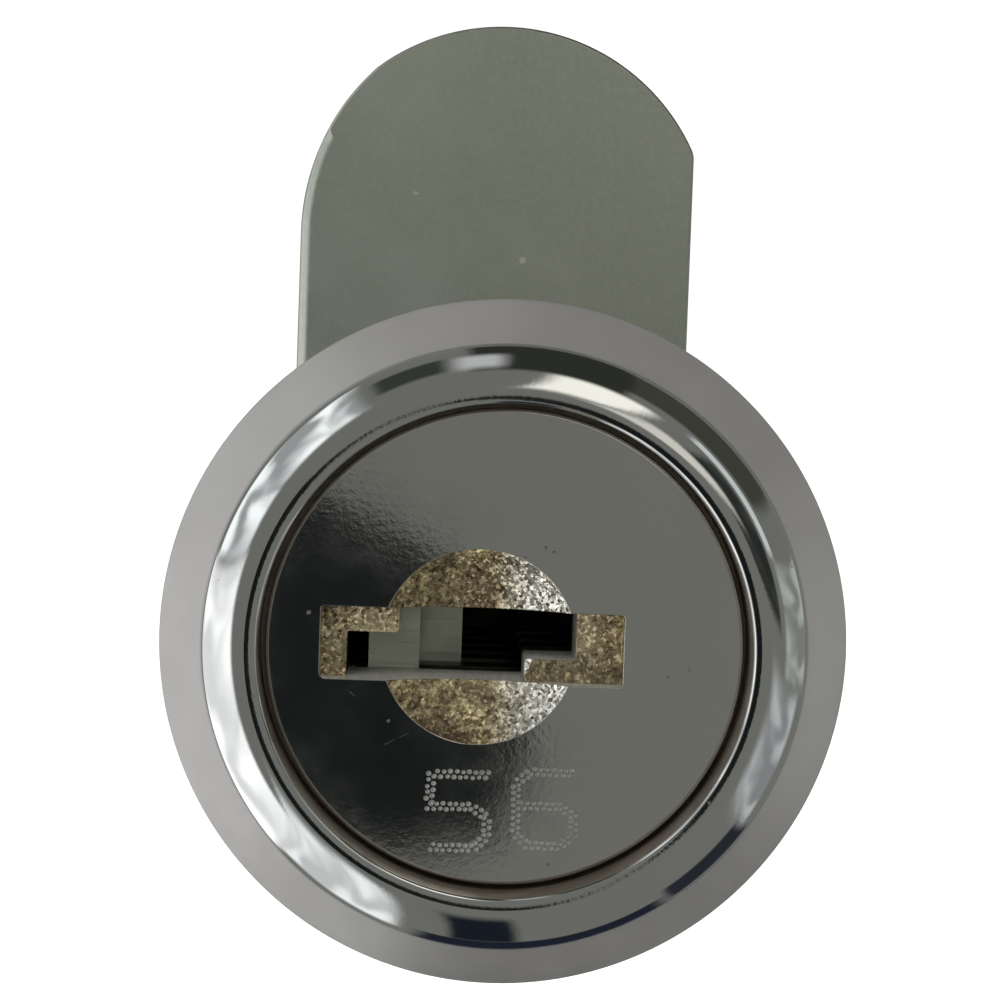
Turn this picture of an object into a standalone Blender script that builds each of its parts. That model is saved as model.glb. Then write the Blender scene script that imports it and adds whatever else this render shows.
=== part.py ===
"""Cam lock: a single-bitted wafer lock in a threaded barrel, with a flat cam, stop washer and fixing nut.

Drawn in metres in the lock's own drawing frame, and then turned to face the user. In the drawing frame
x is right and y is up as the user sees the face, and z comes out of the face towards the user, with z = 0
where the flange seats on the door. The empty LOCK_FRAME turns that frame so that the face looks along -Y
and the cam points along +Z.
"""

from math import acos, asin, atan2, cos, degrees, pi, radians, sin, sqrt

import bmesh
import bpy
from mathutils import Matrix, Vector

MM = 0.001

# Head: a rim, a straight flare, and a half-round bezel round the plug's face
HEAD_RADIUS = 11.0 * MM
HEAD_HEIGHT = 3.1 * MM
RIM_HEIGHT = 0.6 * MM
FLARE_WIDTH = 1.4 * MM
FLARE_HEIGHT = 1.85 * MM
BEZEL_OUTER_WIDTH = 1.5 * MM
BEZEL_INNER_WIDTH = 0.35 * MM
BEZEL_LIP_DROP = 0.25 * MM
HEAD_FLOOR = 0.6 * MM
TURN_STEPS = 48

# Barrel: a metric fine thread with two flats
BARREL_LENGTH = 20.0 * MM
BARREL_WALL = 1.23 * MM
THREAD_RADIUS = 8.0 * MM
THREAD_PITCH = 1.5 * MM
THREAD_DEPTH = 0.613 * THREAD_PITCH
THREAD_STEPS = 24
NECK_LENGTH = 2.2 * MM
FLAT_DEPTH = 1.1 * MM

# Plug: a wide head in the bezel, a body in the barrel, a square boss and a threaded stud behind
PLUG_CLEARANCE = 0.10 * MM
FACE_CLEARANCE = 0.18 * MM
FACE_DROP = 1.35 * MM
FACE_CHAMFER = 0.12 * MM
AXIAL_CLEARANCE = 0.05 * MM
PLUG_OVERHANG = 0.15 * MM
BOSS_CORNER_INSET = 0.87 * MM
BOSS_ROOT = 0.5 * MM
BOSS_CLEARANCE = 0.05 * MM
BOSS_SHORTFALL = 0.3 * MM
STUD_RADIUS = 3.0 * MM
STUD_CHAMFER = 0.5 * MM
STUD_PROUD = 0.7 * MM

# Keyway: its blade passage, the wards that shape it, and the recess that guides the key in
KEYWAY_WIDTH = 7.3 * MM
KEYWAY_HALF_HEIGHT = 1.15 * MM
KEYWAY_EDGE_WALL = 0.75 * MM
KEYWAY_OVERRUN = 1.7 * MM
UPPER_WARD_WIDTH = 1.65 * MM
UPPER_WARD_HEIGHT = 0.86 * MM
LOWER_WARD_WIDTH = 1.63 * MM
LOWER_WARD_HEIGHT = 0.73 * MM
MOUTH_LEFT_LEDGE = 0.83 * MM
MOUTH_RIGHT_LEDGE = 1.47 * MM
MOUTH_DEPTH = 0.8 * MM
DISH_INSET = 4.17 * MM
DISH_RADIUS = 3.1 * MM
DISH_DEPTH = 1.15 * MM

# Wafers: sprung plates across the plug, each with a window that the key passes through
WAFER_COUNT = 6
WAFER_THICKNESS = 1.0 * MM
WAFER_INSET = 0.65 * MM
WAFER_RAIL = 1.15 * MM
WAFER_CORNER = 0.55 * MM
WAFER_SHORTFALL = 0.03 * MM
WAFER_TRAVEL_OUT = 0.6 * MM
WAFER_TRAVEL_IN = 0.3 * MM
FIRST_WAFER = 2.2 * MM
WINDOW_CLEARANCE = 0.10 * MM
WINDOW_EXTRA = 0.9 * MM
BITTING_START = 1.84 * MM
BITTING_STEP = 0.47 * MM
BITTING = (1, 4, 2, 0, 3, 1)
SLOT_CLEARANCE = 0.10 * MM
SLOT_SIDE_CLEARANCE = 0.075 * MM
GROOVE_CLEARANCE = 0.15 * MM
EAR_LEFT = 0.6 * MM
EAR_WIDTH = 1.4 * MM
EAR_CLEARANCE = 0.7 * MM

# Springs: one beside each wafer, in a pocket open at the top of the plug
SPRING_RADIUS = 0.62 * MM
SPRING_WIRE_RADIUS = 0.12 * MM
SPRING_COILS = 5
SPRING_STEPS_PER_COIL = 8
SPRING_SEAT_GAP = 0.04 * MM
POCKET_CLEARANCE = 0.12 * MM
POCKET_COVER = 0.5 * MM

# Retaining wafer: it keeps the plug in the barrel, in a groove that runs all the way round the bore
RETAINER_SPACING = 2.9 * MM
RETAINER_LAND = 3.4 * MM
RETAINER_PROUD = 0.5 * MM
RETAINER_PLAY = 0.5 * MM

# Stop washer: a tab on the plug's washer, between the two ends of a rim on the barrel
TURN_ANGLE = radians(90)
STOP_THICKNESS = 1.2 * MM
STOP_RIM_SEAT = 0.5 * MM
STOP_RIM_OVERLAP = 0.1 * MM
STOP_CLEARANCE = 0.15 * MM
STOP_TAB_SHORTFALL = 0.03 * MM
STOP_TAB_HALF_ANGLE = radians(16)
STOP_END_CLEARANCE = radians(1.5)

# Cam and what clamps it
CAM_THICKNESS = 2.0 * MM
CAM_WIDTH = 15.0 * MM
CAM_REACH = 22.0 * MM
CAM_TIP_EXTRA = 0.8 * MM
CAM_CORNER = 1.0 * MM
CAM_LEFT_EXTRA = 0.45 * MM
CAM_LEFT_RADIUS_EXTRA = 1.45 * MM
STACK_GAP = 0.05 * MM
SPRING_WASHER_CLEARANCE = 0.15 * MM
SPRING_WASHER_WIDTH = 2.65 * MM
SPRING_WASHER_SECTION = 1.3 * MM
SPRING_WASHER_RISE = 0.35 * MM
SPRING_WASHER_TURN = radians(350)
CAM_NUT_WALL = 2.0 * MM
CAM_NUT_HEIGHT = 5.0 * MM
CAM_NUT_CLEARANCE = 0.08 * MM

# Fixing nut and toothed washer, run up the thread behind the door
DOOR_GAP = 5.0 * MM
FIXING_NUT_WALL = 1.5 * MM
FIXING_NUT_HEIGHT = 3.5 * MM
FIXING_CLEARANCE = 0.12 * MM
TOOTH_WASHER_WIDTH = 2.3 * MM
TOOTH_WASHER_THICKNESS = 0.8 * MM
TOOTH_LENGTH = 1.0 * MM
TOOTH_COUNT = 16
NUT_CHAMFER_DROP = 0.45 * MM

# Head and barrel sizes that follow
FLARE_RADIUS = HEAD_RADIUS - FLARE_WIDTH
BEZEL_CREST_RADIUS = FLARE_RADIUS - BEZEL_OUTER_WIDTH
HEAD_BORE_RADIUS = BEZEL_CREST_RADIUS - BEZEL_INNER_WIDTH
THREAD_ROOT = THREAD_RADIUS - THREAD_DEPTH
FLAT_HALF_WIDTH = THREAD_RADIUS - FLAT_DEPTH
BORE_RADIUS = THREAD_ROOT - BARREL_WALL
STOP_RIM_HEIGHT = STOP_THICKNESS + STOP_RIM_OVERLAP
STOP_RIM_INNER = BORE_RADIUS + STOP_RIM_SEAT

# Plug sizes that follow
FACE = HEAD_HEIGHT - FACE_DROP
PLUG_RADIUS = BORE_RADIUS - PLUG_CLEARANCE
PLUG_HEAD_RADIUS = HEAD_BORE_RADIUS - FACE_CLEARANCE
PLUG_HEAD_BACK = HEAD_FLOOR + AXIAL_CLEARANCE
PLUG_END = -BARREL_LENGTH - PLUG_OVERHANG
BOSS_WIDTH = sqrt(2) * (PLUG_RADIUS - BOSS_CORNER_INSET)
KEYWAY_LEFT = -PLUG_RADIUS + KEYWAY_EDGE_WALL
KEYWAY_RIGHT = KEYWAY_LEFT + KEYWAY_WIDTH
DISH_CENTRE = KEYWAY_LEFT + DISH_INSET
RETAINER_DEPTH = BARREL_LENGTH - RETAINER_LAND
LAST_WAFER = RETAINER_DEPTH - RETAINER_SPACING
WAFER_PITCH = (LAST_WAFER - FIRST_WAFER) / (WAFER_COUNT - 1)
KEYWAY_END = -LAST_WAFER - KEYWAY_OVERRUN

# Wafer and spring sizes that follow
WINDOW_HALF_HEIGHT = KEYWAY_HALF_HEIGHT + WINDOW_CLEARANCE
WINDOW_RIGHT = KEYWAY_RIGHT + WINDOW_EXTRA
WAFER_HALF_HEIGHT = WINDOW_HALF_HEIGHT + WAFER_RAIL
WAFER_LEFT = KEYWAY_LEFT + WAFER_INSET
EAR_RIGHT = EAR_LEFT + EAR_WIDTH
EAR_TOP = sqrt((PLUG_RADIUS - EAR_CLEARANCE) ** 2 - (EAR_RIGHT + WAFER_TRAVEL_OUT) ** 2)
SLOT_WIDTH = WAFER_THICKNESS + 2 * SLOT_SIDE_CLEARANCE
SLOT_LEFT = WAFER_LEFT - WAFER_TRAVEL_IN - SLOT_CLEARANCE
RETAINER_GROOVE_WIDTH = WAFER_THICKNESS + RETAINER_PLAY
SPRING_REACH = SPRING_RADIUS + SPRING_WIRE_RADIUS
SPRING_HEIGHT = WAFER_HALF_HEIGHT + 2 * SLOT_CLEARANCE + SPRING_REACH
POCKET_WIDTH = 2 * (SPRING_REACH + POCKET_CLEARANCE)
POCKET_LEFT = -sqrt((PLUG_RADIUS - POCKET_COVER) ** 2 - (SPRING_HEIGHT + SPRING_REACH) ** 2)
POCKET_RIGHT = EAR_RIGHT + WAFER_TRAVEL_OUT + POCKET_CLEARANCE

# Rear stack and fixings, one behind the other
STOP_RADIUS = STOP_RIM_INNER - STOP_CLEARANCE
STOP_TAB_RADIUS = THREAD_ROOT - STOP_TAB_SHORTFALL
STOP_FRONT = PLUG_END - STACK_GAP
STOP_BACK = STOP_FRONT - STOP_THICKNESS
CAM_FRONT = STOP_BACK - STACK_GAP
CAM_BACK = CAM_FRONT - CAM_THICKNESS
CAM_TIP_RADIUS = CAM_WIDTH / 2 + CAM_TIP_EXTRA
CAM_LEFT_RADIUS = CAM_WIDTH / 2 + CAM_LEFT_RADIUS_EXTRA
BOSS_END = CAM_BACK + BOSS_SHORTFALL
SPRING_WASHER_INNER = STUD_RADIUS + SPRING_WASHER_CLEARANCE
SPRING_WASHER_OUTER = SPRING_WASHER_INNER + SPRING_WASHER_WIDTH
SPRING_WASHER_FRONT = CAM_BACK - STACK_GAP
SPRING_WASHER_BACK = SPRING_WASHER_FRONT - SPRING_WASHER_SECTION - SPRING_WASHER_RISE
CAM_NUT_WIDTH = 2 * (STUD_RADIUS + CAM_NUT_WALL)
CAM_NUT_FRONT = SPRING_WASHER_BACK - STACK_GAP
CAM_NUT_BACK = CAM_NUT_FRONT - CAM_NUT_HEIGHT
STUD_END = CAM_NUT_BACK - STUD_PROUD
TOOTH_WASHER_RADIUS = THREAD_RADIUS + TOOTH_WASHER_WIDTH
TOOTH_ROOT_RADIUS = TOOTH_WASHER_RADIUS - TOOTH_LENGTH
TOOTH_WASHER_FRONT = -DOOR_GAP
TOOTH_WASHER_BACK = TOOTH_WASHER_FRONT - TOOTH_WASHER_THICKNESS
FIXING_NUT_WIDTH = 2 * (THREAD_RADIUS + FIXING_NUT_WALL)
FIXING_NUT_FRONT = TOOTH_WASHER_BACK - STACK_GAP

# How near two points count as one, and how far a cutter passes the face that it cuts
MERGE = 1e-6
OVERCUT = 0.2 * MM


def clear_scene():
    for obj in list(bpy.data.objects):
        bpy.data.objects.remove(obj, do_unlink=True)


def new_collection(name):
    collection = bpy.data.collections.new(name)
    bpy.context.scene.collection.children.link(collection)
    return collection


clear_scene()
PARTS = new_collection("cam_lock")
CUTTERS = new_collection("cutters")
LOCK_FRAME = bpy.data.objects.new("lock_frame", None)
PARTS.objects.link(LOCK_FRAME)
LOCK_FRAME.rotation_euler = (pi / 2, 0, 0)


# Materials


def metal(name, colour, roughness, metallic=1.0):
    material = bpy.data.materials.new(name)
    material.use_nodes = True
    shader = material.node_tree.nodes["Principled BSDF"]
    shader.inputs["Base Color"].default_value = (*colour, 1)
    shader.inputs["Roughness"].default_value = roughness
    shader.inputs["Metallic"].default_value = metallic
    return material


CHROME = metal("chrome", (0.62, 0.63, 0.63), 0.06)
ZINC_CAST = metal("plug_chrome", (0.55, 0.56, 0.55), 0.10)
ZINC_PLATE = metal("cam_zinc", (0.40, 0.42, 0.39), 0.38)
BRASS = metal("wafer_brass", (0.62, 0.55, 0.38), 0.35)
SPRING_STEEL = metal("spring_steel", (0.50, 0.50, 0.50), 0.25)
NUT_NICKEL = metal("nut_nickel", (0.60, 0.58, 0.54), 0.22)


# Building blocks


def place(obj, collection, material=None):
    """Puts an object drawn in the drawing frame into its collection and turns it with the lock."""
    collection.objects.link(obj)
    obj.parent = LOCK_FRAME
    if collection is CUTTERS:
        obj.hide_render = True
        obj.display_type = "WIRE"
    if material:
        obj.data.materials.append(material)
    return obj


def from_bmesh(name, bm, collection, material=None):
    mesh = bpy.data.meshes.new(name)
    bm.to_mesh(mesh)
    bm.free()
    return place(bpy.data.objects.new(name, mesh), collection, material)


def turned(name, profile, collection, material=None, closed=False, steps=TURN_STEPS):
    """A solid turned about z from (radius, z) points that run down its outer side."""
    bm = bmesh.new()
    verts = [bm.verts.new((radius, 0, z)) for radius, z in profile]
    for first, second in zip(verts, verts[1:]):
        bm.edges.new((first, second))
    if closed:
        bm.edges.new((verts[-1], verts[0]))
    obj = from_bmesh(name, bm, collection, material)
    screw = obj.modifiers.new("turn", "SCREW")
    screw.steps = screw.render_steps = steps
    screw.use_merge_vertices = True
    screw.merge_threshold = MERGE
    screw.use_smooth_shade = True
    return obj


def plate(name, outline, top, bottom, collection, material=None, holes=()):
    """A flat plate between two heights, from the points of its outline and of its holes."""
    curve = bpy.data.curves.new(name, "CURVE")
    curve.dimensions = "2D"
    curve.fill_mode = "BOTH"
    curve.extrude = (top - bottom) / 2
    for points in (outline, *holes):
        spline = curve.splines.new("POLY")
        spline.points.add(len(points) - 1)
        for point, (x, y) in zip(spline.points, points):
            point.co = (x, y, 0, 1)
        spline.use_cyclic_u = True
    drawn = bpy.data.objects.new(name + "_outline", curve)
    bpy.context.scene.collection.objects.link(drawn)
    bpy.context.view_layer.update()
    mesh = bpy.data.meshes.new_from_object(drawn.evaluated_get(bpy.context.evaluated_depsgraph_get()))
    bpy.data.objects.remove(drawn)
    bm = bmesh.new()
    bm.from_mesh(mesh)
    bmesh.ops.remove_doubles(bm, verts=bm.verts, dist=MERGE)
    bmesh.ops.recalc_face_normals(bm, faces=bm.faces)
    bmesh.ops.translate(bm, verts=bm.verts, vec=(0, 0, (top + bottom) / 2))
    return from_bmesh(name, bm, collection, material)


def box(name, low, high, collection, material=None):
    bm = bmesh.new()
    bmesh.ops.create_cube(bm, size=1)
    size = Vector(high) - Vector(low)
    bmesh.ops.scale(bm, verts=bm.verts, vec=size)
    bmesh.ops.translate(bm, verts=bm.verts, vec=Vector(low) + size / 2)
    return from_bmesh(name, bm, collection, material)


def boolean(obj, other, operation="DIFFERENCE"):
    modifier = obj.modifiers.new(other.name, "BOOLEAN")
    modifier.operation = operation
    modifier.object = other


def arc(centre, radius, start, end, steps):
    """Points on an arc about a centre, from one angle to another, both ends included."""
    angles = [start + (end - start) * i / steps for i in range(steps + 1)]
    return [(centre[0] + radius * cos(a), centre[1] + radius * sin(a)) for a in angles]


def rounded_corner(corner, before, after, radius, steps=4):
    """The arc that rounds a corner between the directions of the points before and after it."""
    corner, before, after = Vector(corner), Vector(before), Vector(after)
    to_before = (before - corner).normalized()
    to_after = (after - corner).normalized()
    half = acos(max(-1.0, min(1.0, to_before.dot(to_after)))) / 2
    centre = corner + (to_before + to_after).normalized() * radius / sin(half)
    start = corner + to_before * radius / sin(half) * cos(half) - centre
    end = corner + to_after * radius / sin(half) * cos(half) - centre
    first, last = atan2(start.y, start.x), atan2(end.y, end.x)
    sweep = (last - first + pi) % (2 * pi) - pi
    return arc(centre, radius, first, first + sweep, steps)


def square(width):
    half = width / 2
    return [(-half, -half), (half, -half), (half, half), (-half, half)]


# Housing: head, threaded barrel, bore, and the rim that the stop washer turns in


def head_profile():
    """The head's outer side, from the bezel's mouth over the crest and down the flare to the seat."""
    crest_rise = HEAD_HEIGHT - FLARE_HEIGHT
    outer_run = FLARE_RADIUS - BEZEL_CREST_RADIUS
    inner_run = BEZEL_CREST_RADIUS - HEAD_BORE_RADIUS
    inner_steps, outer_steps = 4, 8
    inner = [
        (BEZEL_CREST_RADIUS - inner_run * cos(pi / 2 * i / inner_steps),
         HEAD_HEIGHT - BEZEL_LIP_DROP * (1 - sin(pi / 2 * i / inner_steps)))
        for i in range(inner_steps)
    ]
    outer = [
        (BEZEL_CREST_RADIUS + outer_run * sin(pi / 2 * i / outer_steps),
         FLARE_HEIGHT + crest_rise * cos(pi / 2 * i / outer_steps))
        for i in range(outer_steps + 1)
    ]
    foot = [(HEAD_RADIUS, RIM_HEIGHT), (HEAD_RADIUS, 0)]
    neck = [(THREAD_ROOT, 0), (THREAD_ROOT, -NECK_LENGTH), (0, -NECK_LENGTH)]
    return [(0, HEAD_HEIGHT - BEZEL_LIP_DROP), *inner, *outer, *foot, *neck]


def thread_rod(name, radius, depth, pitch, top, bottom, collection, steps=THREAD_STEPS):
    """A rod with a right-hand thread. Its ends spiral, so it is drawn long and trimmed by a Boolean."""
    turns = int((top - bottom) / pitch) + 3
    root = radius - depth
    high = top + 2 * pitch
    profile = [(0, high)]
    for turn in range(turns + 1):
        start = high - turn * pitch
        profile += [(root, start), (radius, start - 0.44 * pitch), (radius, start - 0.56 * pitch)]
    profile += [(root, high - (turns + 1) * pitch), (0, high - (turns + 1) * pitch)]
    bm = bmesh.new()
    verts = [bm.verts.new((r, 0, z)) for r, z in profile]
    edges = [bm.edges.new(pair) for pair in zip(verts, verts[1:])]
    bmesh.ops.spin(
        bm, geom=verts + edges, cent=(0, 0, 0), axis=(0, 0, 1),
        dvec=(0, 0, pitch / steps), angle=2 * pi, steps=steps, use_duplicate=False,
    )
    bmesh.ops.remove_doubles(bm, verts=bm.verts, dist=MERGE)
    bmesh.ops.holes_fill(bm, edges=[e for e in bm.edges if e.is_boundary], sides=0)
    bmesh.ops.recalc_face_normals(bm, faces=bm.faces)
    return from_bmesh(name, bm, collection)


def groove_outline(turn):
    """The channel in the bore that let-out wafers drop into, turned about the axis."""
    half = WAFER_HALF_HEIGHT + GROOVE_CLEARANCE
    reach = asin(half / BORE_RADIUS)
    shift = WAFER_TRAVEL_OUT + WAFER_SHORTFALL
    far_end = arc((shift, 0), BORE_RADIUS, -reach, reach, 8)
    points = [(0, -half), *far_end, (0, half)]
    return [(x * cos(turn) - y * sin(turn), x * sin(turn) + y * cos(turn)) for x, y in points]


def stop_rim_outline():
    """The rim on the barrel's end: a ring with a gap in which the washer's tab can turn."""
    tab = -pi / 2
    margin = STOP_TAB_HALF_ANGLE + STOP_END_CLEARANCE
    gap_start = tab - TURN_ANGLE - margin
    gap_end = tab + margin
    sweep = 2 * pi - (gap_end - gap_start)
    steps = 24
    outer = arc((0, 0), THREAD_ROOT, gap_end, gap_end + sweep, steps)
    inner = arc((0, 0), STOP_RIM_INNER, gap_end + sweep, gap_end, steps)
    return outer + inner


def make_housing():
    barrel = thread_rod(
        "housing", THREAD_RADIUS, THREAD_DEPTH, THREAD_PITCH, -NECK_LENGTH, -BARREL_LENGTH, PARTS
    )
    barrel.data.materials.append(CHROME)
    envelope = box(
        "barrel_envelope",
        (-FLAT_HALF_WIDTH, -HEAD_RADIUS, -BARREL_LENGTH),
        (FLAT_HALF_WIDTH, HEAD_RADIUS, -NECK_LENGTH + OVERCUT),
        CUTTERS,
    )
    boolean(barrel, envelope, "INTERSECT")
    head = turned("head_blank", head_profile(), CUTTERS)
    boolean(barrel, head, "UNION")
    rim = plate(
        "stop_rim", stop_rim_outline(), -BARREL_LENGTH + OVERCUT, -BARREL_LENGTH - STOP_RIM_HEIGHT, CUTTERS
    )
    boolean(barrel, rim, "UNION")
    groove_reach = BORE_RADIUS + RETAINER_PROUD
    groove_top = -RETAINER_DEPTH + RETAINER_GROOVE_WIDTH / 2
    groove_bottom = -RETAINER_DEPTH - RETAINER_GROOVE_WIDTH / 2
    beyond_head = HEAD_HEIGHT + OVERCUT
    beyond_barrel = -BARREL_LENGTH - OVERCUT
    bore = turned(
        "bore",
        [
            (0, beyond_head), (HEAD_BORE_RADIUS, beyond_head), (HEAD_BORE_RADIUS, HEAD_FLOOR),
            (BORE_RADIUS, HEAD_FLOOR), (BORE_RADIUS, groove_top), (groove_reach, groove_top),
            (groove_reach, groove_bottom), (BORE_RADIUS, groove_bottom), (BORE_RADIUS, beyond_barrel),
            (0, beyond_barrel),
        ],
        CUTTERS,
    )
    boolean(barrel, bore)
    groove_start = -FIRST_WAFER + WAFER_PITCH / 2
    for turn in (0, -TURN_ANGLE):
        name = f"wafer_groove_{round(degrees(-turn))}"
        boolean(barrel, plate(name, groove_outline(turn), groove_start, beyond_barrel, CUTTERS))
    return barrel


# Plug and its keyway


def keyway_outline():
    """The blade passage, stepped in by a ward at its upper left and one at its lower right."""
    half = KEYWAY_HALF_HEIGHT
    upper_x = KEYWAY_LEFT + UPPER_WARD_WIDTH
    upper_y = half - UPPER_WARD_HEIGHT
    lower_x = KEYWAY_RIGHT - LOWER_WARD_WIDTH
    lower_y = LOWER_WARD_HEIGHT - half
    return [
        (KEYWAY_LEFT, -half), (lower_x, -half), (lower_x, lower_y), (KEYWAY_RIGHT, lower_y),
        (KEYWAY_RIGHT, half), (upper_x, half), (upper_x, upper_y), (KEYWAY_LEFT, upper_y),
    ]


def mouth_outline():
    left, right = KEYWAY_LEFT - MOUTH_LEFT_LEDGE, KEYWAY_RIGHT + MOUTH_RIGHT_LEDGE
    half = KEYWAY_HALF_HEIGHT
    return [(left, -half), (right, -half), (right, half), (left, half)]


def make_dish():
    """The ball that hollows the face round the keyway."""
    ball_radius = (DISH_RADIUS**2 + DISH_DEPTH**2) / (2 * DISH_DEPTH)
    bm = bmesh.new()
    bmesh.ops.create_uvsphere(bm, u_segments=48, v_segments=32, radius=ball_radius)
    bmesh.ops.translate(bm, verts=bm.verts, vec=(DISH_CENTRE, 0, FACE - DISH_DEPTH + ball_radius))
    return from_bmesh("dish", bm, CUTTERS)


def wafer_depth(index):
    return -FIRST_WAFER - index * WAFER_PITCH


def cut_wafer_slot(plug, index, z):
    """A slot across the plug for one wafer, and above it the pocket for its spring and ear."""
    half = WAFER_HALF_HEIGHT + SLOT_CLEARANCE
    slot = box(
        f"slot_{index}", (SLOT_LEFT, -half, z - SLOT_WIDTH / 2),
        (PLUG_RADIUS + OVERCUT, half, z + SLOT_WIDTH / 2), CUTTERS,
    )
    boolean(plug, slot)
    pocket = box(
        f"pocket_{index}", (POCKET_LEFT, half - SLOT_CLEARANCE, z - POCKET_WIDTH / 2),
        (POCKET_RIGHT, PLUG_RADIUS + OVERCUT, z + POCKET_WIDTH / 2), CUTTERS,
    )
    boolean(plug, pocket)


def make_plug():
    plug = turned(
        "plug",
        [
            (0, FACE), (PLUG_HEAD_RADIUS - FACE_CHAMFER, FACE), (PLUG_HEAD_RADIUS, FACE - FACE_CHAMFER),
            (PLUG_HEAD_RADIUS, PLUG_HEAD_BACK), (PLUG_RADIUS, PLUG_HEAD_BACK), (PLUG_RADIUS, PLUG_END),
            (STUD_RADIUS, PLUG_END), (STUD_RADIUS, STUD_END + STUD_CHAMFER),
            (STUD_RADIUS - STUD_CHAMFER, STUD_END), (0, STUD_END),
        ],
        PARTS,
        ZINC_CAST,
    )
    boss = plate("boss", square(BOSS_WIDTH), PLUG_END + BOSS_ROOT, BOSS_END, CUTTERS)
    boolean(plug, boss, "UNION")
    boolean(plug, make_dish())
    boolean(plug, plate("keyway_mouth", mouth_outline(), FACE + OVERCUT, FACE - MOUTH_DEPTH, CUTTERS))
    boolean(plug, plate("keyway", keyway_outline(), FACE + OVERCUT, KEYWAY_END, CUTTERS))
    for index in range(WAFER_COUNT):
        cut_wafer_slot(plug, index + 1, wafer_depth(index))
    cut_wafer_slot(plug, "retainer", -RETAINER_DEPTH)
    return plug


# Wafers, the retaining wafer and their springs


def wafer_outline(right_radius, shift=0.0):
    """A plate with a rounded right end that lies level with the plug, and an ear for its spring."""
    half = WAFER_HALF_HEIGHT
    reach = asin(half / right_radius)
    right = [(x + shift, y) for x, y in arc((0, 0), right_radius, -reach, reach, 8)]
    left = WAFER_LEFT + shift
    ear_left, ear_right = EAR_LEFT + shift, EAR_RIGHT + shift
    ear = [(ear_right, half), (ear_right, EAR_TOP), (ear_left, EAR_TOP), (ear_left, half)]
    upper = rounded_corner((left, half), (0, half), (left, 0), WAFER_CORNER)
    lower = rounded_corner((left, -half), (left, 0), (0, -half), WAFER_CORNER)
    return right + ear + upper + lower


def make_wafer(index, z):
    left = KEYWAY_LEFT + BITTING_START + BITTING[index] * BITTING_STEP
    half = WINDOW_HALF_HEIGHT
    window = [(left, -half), (WINDOW_RIGHT, -half), (WINDOW_RIGHT, half), (left, half)]
    top, bottom = z + WAFER_THICKNESS / 2, z - WAFER_THICKNESS / 2
    outline = wafer_outline(PLUG_RADIUS - WAFER_SHORTFALL)
    return plate(f"wafer_{index + 1}", outline, top, bottom, PARTS, BRASS, holes=[window])


def make_retainer():
    top, bottom = -RETAINER_DEPTH + WAFER_THICKNESS / 2, -RETAINER_DEPTH - WAFER_THICKNESS / 2
    outline = wafer_outline(PLUG_RADIUS - WAFER_SHORTFALL, RETAINER_PROUD)
    return plate("retaining_wafer", outline, top, bottom, PARTS, BRASS)


def make_spring(name, z, ear_left):
    """A compression spring along x, from the pocket's wall to the wafer's ear, with closed end coils."""
    start = POCKET_LEFT + SPRING_WIRE_RADIUS + SPRING_SEAT_GAP
    end = ear_left - SPRING_WIRE_RADIUS - SPRING_SEAT_GAP
    closed_pitch = 2.1 * SPRING_WIRE_RADIUS
    count = SPRING_COILS * SPRING_STEPS_PER_COIL
    curve = bpy.data.curves.new(name, "CURVE")
    curve.dimensions = "3D"
    curve.bevel_depth = SPRING_WIRE_RADIUS
    curve.bevel_resolution = 2
    curve.use_fill_caps = True
    spline = curve.splines.new("POLY")
    spline.points.add(count)
    open_length = end - start - 2 * closed_pitch
    for i, point in enumerate(spline.points):
        coil = i / SPRING_STEPS_PER_COIL
        angle = 2 * pi * coil
        share = min(max((coil - 1) / (SPRING_COILS - 2), 0), 1)
        closed = min(coil, 1) + max(coil - (SPRING_COILS - 1), 0)
        x = start + closed_pitch * closed + open_length * share
        point.co = (x, SPRING_HEIGHT + SPRING_RADIUS * cos(angle), z + SPRING_RADIUS * sin(angle), 1)
    obj = bpy.data.objects.new(name, curve)
    return place(obj, PARTS, SPRING_STEEL)


# Rear stack


def stop_washer_outline():
    tab = -pi / 2
    disc = arc((0, 0), STOP_RADIUS, tab + STOP_TAB_HALF_ANGLE, tab - STOP_TAB_HALF_ANGLE + 2 * pi, 40)
    ears = arc((0, 0), STOP_TAB_RADIUS, tab - STOP_TAB_HALF_ANGLE, tab + STOP_TAB_HALF_ANGLE, 4)
    return disc + ears


def cam_outline():
    """A bar with a round end about the hole and a flatter arc at its tip. Its left side stands out."""
    half = CAM_WIDTH / 2
    left_half = half + CAM_LEFT_EXTRA
    tip_centre = CAM_REACH - CAM_TIP_RADIUS
    meeting = acos((half - CAM_CORNER) / (CAM_TIP_RADIUS - CAM_CORNER))
    corner_centre = (half - CAM_CORNER, tip_centre + (CAM_TIP_RADIUS - CAM_CORNER) * sin(meeting))
    right_corner = arc(corner_centre, CAM_CORNER, 0, meeting, 4)
    shift = CAM_LEFT_RADIUS - left_half
    crossing = (shift**2 + CAM_TIP_RADIUS**2 - CAM_LEFT_RADIUS**2) / (2 * shift)
    tip = arc((0, tip_centre), CAM_TIP_RADIUS, meeting, acos(crossing / CAM_TIP_RADIUS), 14)
    left = arc((shift, tip_centre), CAM_LEFT_RADIUS, acos((crossing - shift) / CAM_LEFT_RADIUS), pi, 8)
    end = arc(((half - left_half) / 2, 0), (half + left_half) / 2, pi, 2 * pi, 20)
    return end + right_corner + tip[1:] + left[1:]


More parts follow.
